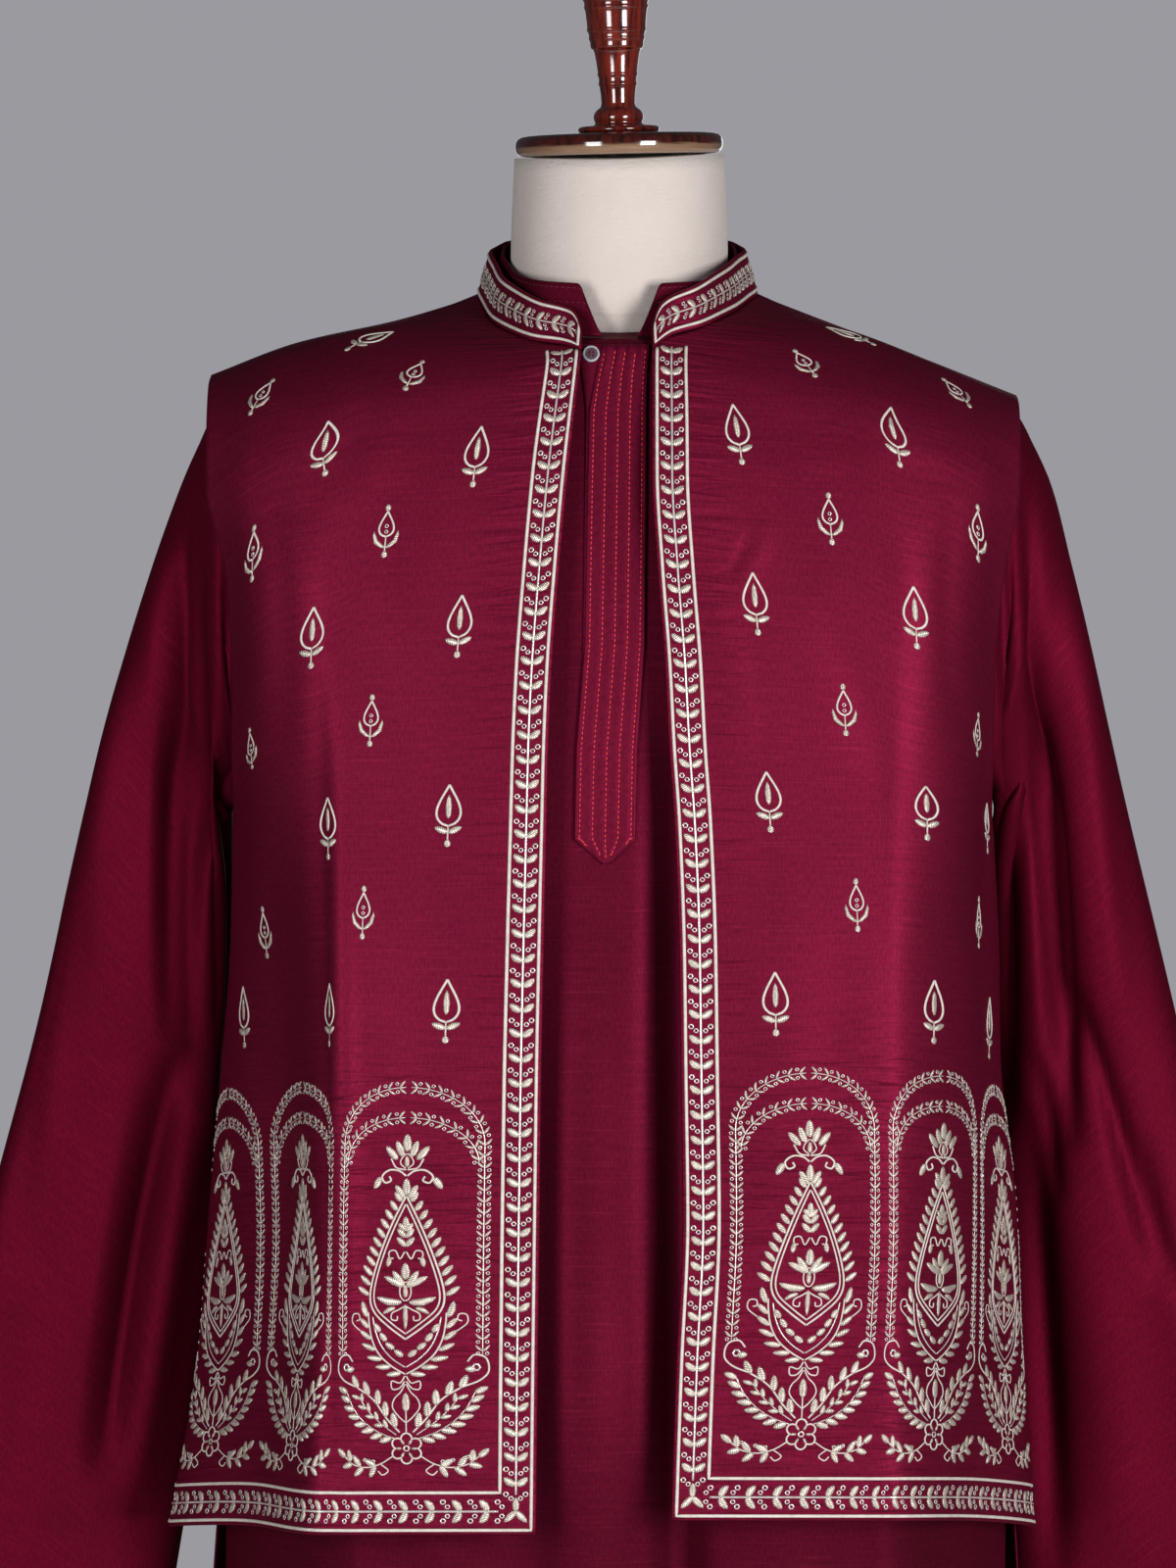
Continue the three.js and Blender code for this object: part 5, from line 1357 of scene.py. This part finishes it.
class Sewing:
    """Leaves, cords and sequins at flat places, gathered for one panel: rows of base, tip, width and
    bow; paths with a half width and whether they are silver; and rows of place and radius."""
    def __init__(self):
        self.leaves, self.cords, self.rings = [], [], []

    def add(self, other, x=0.0, y=0.0, mirror=1, lean=0.0):
        """Adds other's stitches mirrored across upright where mirror is -1, then leant back towards
        x = 0 by lean degrees, and then moved by x and y."""
        cosine, sine = np.cos(np.radians(lean)), np.sin(np.radians(lean))
        turn = np.array([[mirror * cosine, mirror * sine], [-sine, cosine]])
        step = np.array([x, y])
        for rows in other.leaves:
            self.leaves.append(np.hstack([rows[:, :2] @ turn + step, rows[:, 2:4] @ turn + step,
                                          rows[:, 4:5], rows[:, 5:] * mirror]))
        self.cords += [(path @ turn + step, half, silver) for path, half, silver in other.cords]
        self.rings += [np.hstack([rows[:, :2] @ turn + step, rows[:, 2:]]) for rows in other.rings]

    def add_whole(self, motif, x, y=0.0, lean=0.0):
        """Adds a motif: its axis, and its half to both sides of it."""
        axis, half = motif
        self.add(axis, x, y, 1, lean)
        self.add(half, x, y, 1, lean)
        self.add(half, x, y, -1, lean)

    def cord(self, path, half=0.5, silver=False):
        self.cords.append((np.asarray(path, float), half, silver))

    def scroll(self, half, *places):
        """A cord bent through places."""
        self.cord(bent(places), half)

    def sequins(self, *rows):
        """Sequins as rows of place and radius."""
        self.rings.append(np.array(rows, float))

    def leaf(self, base, tip, wide, bow=0.0):
        """Leaves from bases to tips, bowed aside."""
        base, tip = np.atleast_2d(np.asarray(base, float)), np.atleast_2d(np.asarray(tip, float))
        wide, bow, _ = np.broadcast_arrays(np.asarray(wide, float), bow, np.zeros(len(base)))
        self.leaves.append(np.column_stack([base, tip, wide, bow]))

    def fan(self, x, y, angles, long, wide, start=0.0):
        """Leaves that spread from a place at angles in degrees from upright."""
        turn = np.radians(np.atleast_1d(angles))
        heading = np.stack([np.sin(turn), np.cos(turn)], -1)
        base = np.array([x, y]) + heading * start
        self.leaf(base, base + heading * np.reshape(long, (-1, 1)), wide)

    def leaves_off(self, path, shares, side, lean, long, wide, off=0.0):
        """Leaves off a path at shares of its length, to its right (1) or left (-1), leaning out from
        its course by lean degrees; off holds their bases clear of it."""
        base, course = along_path(path, shares)
        beside, angle = right_of(course), -np.radians(lean) * side
        base = base + beside * (side * off)
        heading = course * np.cos(angle) - beside * np.sin(angle)
        self.leaf(base, base + heading * np.reshape(long, (-1, 1)), wide)

    def vine(self, path, pitch, reach, rise, wide, sequins):
        """A pair of leaves off a path every pitch, reaching aside and ahead, with pairs of sequins at
        places aside and ahead of each pair's base."""
        long = reach_along(path)[-1]
        starts = np.linspace(vine_start * pitch, long - rise, round((long - rise) / pitch))
        base, course = along_path(path, starts / long)
        for side in (-1, 1):
            beside = side * right_of(course)
            tip = base + beside * reach + course * rise
            self.leaf(base + beside * vine_clear, tip, wide, side * wide * vine_bow)
            for aside, ahead, radius in sequins:
                place = base + beside * aside + course * ahead
                self.rings.append(np.column_stack([place, np.full(len(base), radius)]))


# Each motif is drawn as its axis and one half, which is mirrored. The arch's two vines come first.
arch_axis, arch_half = Sewing(), Sewing()
arch_turn = np.radians(np.linspace(0, 88, 16))[:, None]
outer_arch = np.vstack([
    np.stack([np.full(30, 38.7), np.linspace(100, 217, 30)], -1),
    np.hstack([38.7 * np.cos(arch_turn), 218 + 32 * np.sin(arch_turn)]),
])
inner_arch = np.hstack([36 * np.cos(arch_turn), 207 + 26 * np.sin(arch_turn)])
for line in (outer_arch, inner_arch):
    arch_half.vine(line, 6.2, 3.6, 3.3, 1.6, [(2.3, -1.4, 1.2)])
    arch_half.cord(line, 0.32, True)

# The drop in the middle: two outlines, leaves all along it, and its own tree, scroll and lotus inside.
drop = bent([
    [0, 109], [8.6, 115.6], [16.8, 123.4], [19.6, 130], [19, 139], [14.4, 155], [7.4, 173.5], [0.2, 189],
], 46)
inner_drop = bent([
    [0, 112], [7.6, 118], [15.2, 125.2], [17.4, 131], [16.8, 139], [12.4, 154.6], [6.2, 171], [0.2, 184.6],
], 46)
arch_half.cord(drop, 0.6)
arch_half.cord(inner_drop, 0.5)
arch_half.leaves_off(drop, np.linspace(0.36, 0.96, 11), 1, 58, np.linspace(8.2, 6.4, 11), 3.7, 0.9)
arch_axis.fan(0, 189.5, 0, 9.5, 4.8)
arch_half.fan(1.2, 188, 32, 8.6, 4.2)
arch_axis.fan(0, 169.5, 0, 8.2, 4.4)
tree = np.array([[0.0, 152], [0, 170]])
arch_half.leaves_off(tree, [0.5, 0.78, 0.98], 1, 42, [6.8, 6.4, 5.6], 3.7)
arch_half.scroll(0.45, [0.4, 158], [3, 154], [5.4, 158.5], [8.6, 158], [8.6, 154.6], [6.4, 154.2])
arch_half.fan(8.4, 155, 168, 5.6, 3.4)
arch_axis.fan(0, 142.5, 0, 9.2, 5.4)
arch_half.fan(0.8, 138.5, [34, 62], [10.6, 12], 4.4)
arch_half.leaf([2.0, 129.8], [15.6, 132.6], 4.6, 1.3)
arch_half.leaf([5.4, 126.6], [12.2, 123.2], 3.0, -0.6)
arch_half.scroll(0.45, [0.4, 127.5], [3.4, 125.6], [7.2, 123.4], [7.4, 120.2], [4.6, 119.6], [4.2, 122])
arch_axis.fan(0, 128.5, 180, 14, 3.0)
eye_turn = np.linspace(0, np.pi, 16)
arch_half.cord(np.stack([3.0 * np.sin(eye_turn), 135.8 - 5.2 * np.cos(eye_turn)], -1), 0.42)
arch_axis.fan(0, 132.3, 0, 7.2, 3.0)

# The chevron below the drop, and the fringe of leaves outside it.
chevron = bent([[0.3, 89.5], [7.6, 94], [14.6, 100.6], [18.6, 108.6], [20.4, 118], [20.8, 124]])
arch_half.cord(chevron, 0.5)
inner_chevron = bent([[0.3, 93.4], [7, 98], [12.8, 104.6], [16.6, 113.4], [18.2, 121.6]])
arch_half.cord(inner_chevron, 0.42, True)
band = np.array([[1.4, 99.4], [9.4, 106.2], [17.4, 118.4]])
arch_half.leaves_off(band, [0.0, 0.25, 0.5, 0.75], 1, 2, 5.8, 3.8)
arch_half.leaves_off(chevron, np.linspace(0.05, 0.8, 6), 1, 36, [8, 8.8, 9, 8.8, 8.4, 7.8], 3.6, 0.7)
arch_half.leaf([21.4, 121.6], [24.4, 130.4], 4.2, 0.6)
arch_half.scroll(
    0.42, [23, 112], [27, 114.6], [31.2, 118.6], [30.6, 123], [27, 123.2], [26.4, 120.2], [28.6, 119.4],
)
arch_half.scroll(0.45, [0.3, 88.5], [3, 84.6], [7.4, 85.6], [7.2, 81.2], [3.4, 81.6], [0.4, 85.5])

# The crown over the drop: a bud, five petals, and a scroll with a hanging leaf.
arch_half.scroll(
    0.6, [0.3, 200.4], [4, 203.2], [9.4, 203.6], [13.4, 200.2], [11.8, 196.6], [8.4, 197.8], [9.4, 200.2],
)
arch_half.fan(14, 199.6, 148, 7.6, 4.4)
arch_half.scroll(0.5, [0.3, 203.8], [5.6, 205], [8.6, 210])
arch_axis.fan(0, 205.4, 0, 6.2, 3.0)
arch_half.scroll(0.4, [0.6, 204.6], [3.4, 207.4], [2.6, 210.4], [0.2, 213])
arch_axis.fan(0, 214.2, 0, 9.6, 5.2)
arch_half.fan(2.2, 211.2, 21, 9.4, 4.5)
arch_half.fan(5.2, 209.6, 40, 9.6, 4.5)

# Two wing sprays rise from a six-petalled flower, curl over at the foot of the columns, and a low
# garland runs along the base.
petal_turn = np.linspace(0, 2 * np.pi, 73)
petal_reach = (5.9 + 2.6 * np.abs(np.cos(3 * petal_turn)) ** 0.8)[:, None]
arch_axis.cord([0, 48] + petal_reach * np.stack([np.sin(petal_turn), np.cos(petal_turn)], -1), 0.55)
arch_axis.fan(0, 48, np.arange(6) * 60 + 30, 3.6, 1.7, start=2.6)
arch_axis.sequins([0, 48, 2.1])
wing = bent([
    [3.5, 57], [10.4, 64.5], [18, 75], [28, 82], [37.2, 86], [41.8, 91], [40.4, 98.6], [34.6, 100.4],
    [31.2, 96.6],
], 44)
under_wing = bent([[6.5, 53.6], [16, 57.4], [24.6, 63.4], [31, 71], [35.4, 80]])
middle_wing = bent([[5.4, 55.6], [14, 62], [21.6, 69.4], [27.6, 77.4]])
arch_half.cord(wing, 0.55)
arch_half.cord(middle_wing, 0.34, True)
arch_half.cord(under_wing, 0.34, True)
arch_half.sequins([35.6, 93.4, 2.6])
arch_half.fan(35.2, 92.2, -86, 5.2, 4.2)
arch_half.leaves_off(wing, [0.05, 0.16, 0.27, 0.38, 0.49], -1, 36, [8.6, 9, 9, 8.6, 8], 4.6)
arch_half.leaves_off(under_wing, np.linspace(0.04, 0.98, 8), 1, 40, [7.4, 7.8, 8, 8, 8, 7.8, 7.6, 7.2], 4.1)
arch_half.leaves_off(middle_wing, [0.2, 0.42, 0.64, 0.86], -1, 34, 5.4, 2.9)
arch_half.leaves_off(middle_wing, [0.28, 0.5, 0.72, 0.94], 1, 34, 5.6, 2.9)
arch_half.scroll(0.42, [0.3, 84], [2.6, 79.6], [6.2, 75.6], [7.2, 71], [3.6, 65.6], [0.3, 62.5])
arch_axis.fan(0, 68.6, 0, 10.6, 4.8)
arch_axis.cord([[0, 57], [0, 62.6], [0, 68.6]], 0.45)
garland = bent([[7.6, 43.6], [14, 39.6], [22, 37.4], [31, 39], [37.6, 44]])
arch_half.cord(garland, 0.42)
arch_half.leaves_off(garland, [0.34, 0.62, 0.84], -1, 46, [7.4, 7.6, 7], 4.2)
arch_half.leaves_off(garland, [0.34, 0.56, 0.78], 1, 44, [7.2, 7.6, 7.2], 4.0)
arch_half.leaves_off(garland, [0.97], 1, 0, 7.0, 4.2)
arch_half.scroll(0.42, [14.4, 39.2], [10.2, 35.6], [13.4, 33.2], [16, 35.4])
arch_half.sequins([24, 41.6, 1.2], [18.6, 40.8, 1.2], [31.4, 43.4, 1.2], [13.4, 52.8, 1.2], [22, 59, 1.2])


def drop_side(half_wide, foot, tall):
    """One side of a drop: its half width times a power of the sine of a power of its height."""
    share = np.linspace(0, 1, 20)
    return np.stack([half_wide * np.sin(np.pi * share ** 0.6) ** 1.05, foot + tall * share], -1)


# The two scattered sprigs: a drop with a leaf in it, and a smaller one between two curved leaves.
tall_axis, tall_half = Sewing(), Sewing()
tall_half.cord(drop_side(6.4, -5.6, 24), 0.72)
tall_axis.fan(0, -1.2, 0, 13.4, 3.6)
tall_half.fan(0.4, -9.2, 66, 7.4, 4.0)
tall_axis.cord([[0, -13.4], [0, -9.5], [0, -6]], 0.45)
tall_axis.fan(0, -17.4, 0, 4.2, 4.0)
small_axis, small_half = Sewing(), Sewing()
small_half.cord(drop_side(4.2, -3.2, 14.4), 0.6)
small_half.leaf([0.4, -9.4], [6.8, 0.4], 2.8, 2.2)
small_axis.cord([[0, -11.6], [0, -8], [0, -3.2]], 0.45)
small_axis.fan(0, -15.2, 0, 4, 3.8)
small_axis.fan(0, 11.4, 0, 3.8, 3.6)
small_axis.sequins([0, -0.4, 1.3], [0, 2.8, 1.3])
up_steps, across_steps = 180, 60


def flat_tables(net, neck_row):
    """How far each place of a net lies along its row and up its column, and how far in its inner edge
    has drawn since the neck began."""
    heights, across = np.linspace(0, 1, up_steps + 1), np.linspace(0, 1, across_steps + 1)
    height, side = np.meshgrid(heights, across, indexing="ij")
    grid = on_net(net, side.ravel(), height.ravel()).reshape(*height.shape, 3)
    places = flat_places(grid) / MM
    neck = neck_row / (net["columns"].shape[1] - 1)
    neck_start = np.abs(on_net(net, np.zeros(1), np.full(1, neck))[0, 0])
    inset = np.where(heights > neck, np.abs(grid[:, 0, 0]) - neck_start, 0)
    return {
        "net": net, "heights": heights, "long": places[:, -1, 0], "rise": places[..., 1], "inset": inset,
        "neck": np.interp(neck, heights, places[:, 0, 1]),
    }


def find_flat(tables, s, h):
    """Across and height on the net for a place s along and h up the flat cloth."""
    heights, rise = tables["heights"], tables["rise"]
    height = np.interp(h, rise[:, 0], heights)
    nearly = 1 - 1e-3

    def risen(across, at):
        row = np.clip(at * up_steps, 0, up_steps - 1 + nearly)
        column = np.clip(across * across_steps, 0, across_steps - 1 + nearly)
        r, c = row.astype(int), column.astype(int)
        p, q = row - r, column - c
        low = rise[r, c] * (1 - q) + rise[r, c + 1] * q
        high = rise[r + 1, c] * (1 - q) + rise[r + 1, c + 1] * q
        return low + (high - low) * p, (high - low) * up_steps

    for _ in range(7):
        inset, long = np.interp(height, heights, tables["inset"]), np.interp(height, heights, tables["long"])
        across = (s - inset) / long
        here, slope = risen(across, height)
        height = np.clip(height + (h - here) / slope, 0, 1)
    return across, height


def rings_mesh(rings):
    """Cup sequins as rows of place and radius: six-sided rings of a three-sided section, 0.45 mm tall."""
    turn = np.linspace(0, 2 * np.pi, 7)[:-1]
    section = np.array([[1.0, 0.0], [0.8, 0.45], [0.36, 0.0]])
    reach = rings[:, 2][:, None, None] * section[:, 0]
    way = np.stack([np.cos(turn), np.sin(turn)], -1)[None, :, None]
    flat = rings[:, None, None, :2] + reach[..., None] * way
    lift = np.broadcast_to(section[:, 1], flat.shape[:3])[..., None]
    ring, corner = np.meshgrid(np.arange(6), np.arange(3), indexing="ij")
    number = lambda ring, corner: (ring % 6 * 3 + corner % 3).ravel()
    quads = np.stack([
        number(ring, corner), number(ring + 1, corner),
        number(ring + 1, corner + 1), number(ring, corner + 1),
    ], -1)[None] + (np.arange(len(rings)) * 18)[:, None, None]
    points = np.concatenate([flat, lift], -1).reshape(-1, 3)
    return points, quads.reshape(-1, 4), np.zeros((0, 3), int), points[:, :2]


leaf_shares = np.array([0.0, 0.16, 0.5, 0.84, 1.0])
leaf_swell = np.array([0.3, 0.82, 1.0, 0.66, 0.12])
# A leaf's height is leaf_edge and leaf_dome of its half width, which counts up to leaf_full.
leaf_edge, leaf_dome, leaf_full = 0.12, 0.8, 0.85


def leaves_mesh(rows):
    """Leaves as short domed ribs between base and tip, bowed aside."""
    base, tip = rows[:, None, :2], rows[:, None, 2:4]
    course = tip - base
    beside = right_of(course) / np.linalg.norm(course, axis=2, keepdims=True)
    bow = rows[:, 5:, None] * np.sin(np.pi * leaf_shares)[:, None]
    half = rows[:, 4:5] / 2 * leaf_swell
    lines = base + course * leaf_shares[:, None] + beside * bow
    return ribs(lines, half, np.minimum(half, leaf_full) * leaf_dome + leaf_edge)


# Where stitches stop, as shares of a panel's width and height: short of its side seam and its shoulder
# seam and, from the chest up, clear of its neckline.
side_limit, shoulder_limit, neck_limit, neck_from = 0.992, 0.985, 0.006, 0.7


def panel_places(tables, creases):
    """Two functions for a jacket panel: one turns flat places and lift into points on its cloth, and
    the other says which flat places lie clear of its side seam, its shoulder and its neckline."""
    def place(points):
        across, height = find_flat(tables, points[:, 0], points[:, 1])
        return on_cloth(tables["net"], across, height, points[:, 2] + jacket_cloth / 2 - stitch_sunk, creases)

    def inside(x, y):
        across, height = find_flat(tables, x, y)
        clear_of_neck = (across > neck_limit) | (height < neck_from)
        return (across < side_limit) & (height < shoulder_limit) & clear_of_neck
    return place, inside


def sew_on(name, sewing, place, inside=None, flip=False):
    """Three pieces, leaves, cords and sequins, set on the cloth by place. Stitches that pass outside it
    are left out, and flip turns their faces where the cloth's net winds the other way."""
    leaves, rings, cords = np.vstack(sewing.leaves), np.vstack(sewing.rings), sewing.cords
    if inside:
        leaves = leaves[inside(leaves[:, 0], leaves[:, 1]) & inside(leaves[:, 2], leaves[:, 3])]
        rings = rings[inside(rings[:, 0], rings[:, 1])]
        cords = [(path[inside(path[:, 0], path[:, 1])], half, silver) for path, half, silver in cords]
    lots = {"leaves": [leaves_mesh(leaves)], "cords": [], "sequins": [rings_mesh(rings)]}
    for path, half, silver in cords:
        if len(path) > 2:
            lots["sequins" if silver else "cords"].append(ribs(path[None], half, half * 0.9))
    pieces = []
    for word, finish, slot in (
        ("leaves", satin_thread, "ivory_thread"), ("cords", ivory_thread, "ivory_thread"),
        ("sequins", silver_sequin, "silver_sequin"),
    ):
        parts = lots[word]
        if flip:
            parts = [(points, quads[:, ::-1], ends[:, ::-1], uv) for points, quads, ends, uv in parts]
        piece = sewn_piece(f"{name}_{word}", parts, place, finish)
        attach(piece, "root")
        pieces.append(piece)
    return pieces


def sequin_shade(tree):
    """Silvered plastic film, a little warm, with painted glints: patches 3 mm across painted lighter and
    darker, for the light each sequin catches at its own slant.
    """
    slant = object_noise(tree, (330, 330, 330))
    return {
        "Base Color": between(tree, slant, "#b5aba2", "#fbf8f4"), "Metallic": 0.35, "Roughness": 0.22,
        "Specular IOR Level": 0.8,
    }


ivory_thread = surface_material("ivory cotton cord", thread_shade(("#b5a89a", "#f6efe6"), 0.5, 0.7))
satin_thread = surface_material(
    "ivory viscose satin stitch", thread_shade(("#8f8072", "#efe4d6"), 0.34, 0.8, 0.45),
)
silver_sequin = surface_material("silvered cup sequins", sequin_shade)


def stepped(points, step=2.6):
    """A path of straight runs sampled every few millimetres, with its corners kept."""
    points = np.asarray(points, float)
    runs = [
        a + (b - a) * np.linspace(0, 1, max(2, int(np.linalg.norm(b - a) / step)))[:-1, None]
        for a, b in zip(points[:-1], points[1:])
    ]
    return np.vstack([*runs, points[-1:]])


# Sprigs: millimetres from the open edge, or from the back's middle, and up from the hem, and, where one
# doesn't stand upright, how many degrees it leans towards that edge or middle.
tall_places = {
    -1: [
        (49, 292), (52, 402), (52, 511), (52, 608), (125, 290), (126, 395), (137, 518), (142, 626, -19),
        (122, 711, 50), (222, 292),
    ],
    1: [
        (50, 288), (51, 402), (52, 516), (48, 613, 7), (149, 285), (144, 399), (143, 525), (140, 627),
        (116, 716, 55), (234, 284), (230, 402),
    ],
}
small_places = {
    -1: [(98, 348), (98, 460), (98, 568), (96, 665, 25), (190, 340), (184, 464), (178, 580), (187, 676, 38)],
    1: [(97, 344), (97, 459), (98, 568), (88, 667, 28), (204, 342), (193, 473), (187, 590), (180, 681, 38)],
}
back_tall = [
    (46, 292), (46, 402), (46, 511), (46, 611), (60, 702), (134, 292), (134, 402), (134, 511), (134, 611),
    (128, 702), (222, 292), (220, 402), (216, 511), (212, 611),
]
back_small = [
    (0, 350), (0, 460), (0, 569), (0, 674), (90, 350), (90, 460), (90, 569), (90, 674), (96, 760), (178, 350),
    (176, 460), (172, 569), (168, 674),
]
back_stitches = []
# Across the band, from the cloth's edge in: an outer cord, the vine's stem, and an inner cord.
outer_cord, vine_stem, inner_cord, seam_clear = 2.2, 12.7, 23.2, 1.5
edge_stem, edge_inner_cord = 10.7, 19.2
cord_half, stem_half = 1.0, 0.65
big_vine = (13.8, 6.3, 4.2, 4.6, [(2.6, -7.5, 1.6), (5.3, -5.2, 1.8)])
arch, tall_sprig, small_sprig = (arch_axis, arch_half), (tall_axis, tall_half), (small_axis, small_half)
for side, word in ((-1, "left"), (1, "right")):
    tables = flat_tables(jacket_front_nets[side], front_neck_row)
    neck_top, hem_end = tables["neck"], tables["long"][0] - seam_clear
    sewing = Sewing()
    outer_line = [[outer_cord, neck_top + 1], [outer_cord, outer_cord], [hem_end, outer_cord]]
    inner_line = [[edge_inner_cord, neck_top + 5], [edge_inner_cord, inner_cord], [hem_end, inner_cord]]
    sewing.cord(stepped(outer_line), cord_half)
    sewing.cord(stepped(inner_line), cord_half)
    edge_line = stepped([[edge_stem, 22], [edge_stem, neck_top + 3]])
    hem_line = stepped([[20, vine_stem], [hem_end, vine_stem]])
    for line in (edge_line, hem_line):
        sewing.vine(line, *big_vine)
        sewing.cord(line, stem_half, True)
    for tip in ([4.6, 6.6], [16.8, 6.8], [edge_stem, 20.6]):
        sewing.leaf([edge_stem, vine_stem], tip, 4.2)
    for centre in (67, 158, 249):
        sewing.add_whole(arch, centre)
    for sprig, places in ((tall_sprig, tall_places[side]), (small_sprig, small_places[side])):
        for place in places:
            sewing.add_whole(sprig, *place)
    stitches = sew_on(
        f"jacket_front_{word}_embroidery", sewing, *panel_places(tables, jacket_front_creases), side < 0,
    )

    # The same side's half of the back: what lies on its middle is sewn once, with the right half.
    tables = flat_tables(jacket_back_nets[side], back_neck_row)
    hem_end = tables["long"][0] - seam_clear
    sewing = Sewing()
    for height in (outer_cord, inner_cord):
        sewing.cord(stepped([[0, height], [hem_end, height]]), cord_half)
    hem_line = stepped([[0, vine_stem], [hem_end, vine_stem]])
    sewing.vine(hem_line, *big_vine)
    sewing.cord(hem_line, stem_half, True)
    sewing.add(arch_half, 0)
    if side > 0:
        sewing.add(arch_axis, 0)
    for centre in (90, 180):
        sewing.add_whole(arch, centre)
    for sprig, places in ((tall_sprig, back_tall), (small_sprig, back_small[4 * (side < 0):])):
        for place in places:
            sewing.add_whole(sprig, *place)
    back_stitches += sew_on(
        f"jacket_back_{word}_embroidery", sewing, *panel_places(tables, jacket_back_creases), side > 0,
    )


# ---- Jacket collar embroidery -----------------------------------------------------------------------
# The same vine between two cords runs round the stand, one half of it mirroring the other.
collar_run = reach_along(jacket_neckline)[-1]
collar_sewing = Sewing()
for start, inward_step in ((0, 1), (collar_run, -1)):
    stem = stepped([[collar_run / 2 - inward_step, vine_stem], [start + 5 * inward_step, vine_stem]])
    collar_sewing.vine(stem, 10.2, 5.8, 4.6, 3.9, [(2.4, -4.6, 1.25), (4.7, -3.4, 1.35)])
    collar_sewing.sequins([start + 3.6 * inward_step, vine_stem, 1.7])
    collar_sewing.cord(stem, 0.6, True)
foot_line, top_line, end_line = 2.3, 23.3, 1.8
frame_line = [
    [collar_run / 2, foot_line], [end_line, foot_line], [end_line, top_line],
    [collar_run - end_line, top_line], [collar_run - end_line, foot_line], [collar_run / 2, foot_line],
]
collar_sewing.cord(stepped(frame_line, 2.0), 1.1)
collar_stitching = sew_on(
    "jacket_collar_embroidery", collar_sewing,
    collar_places(jacket_neckline, jacket_collar_cut, jacket_collar_cloth),
)


low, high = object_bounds()
{"cad": [list(cad_low), list(cad_high)], "visual": [list(low), list(high)]}
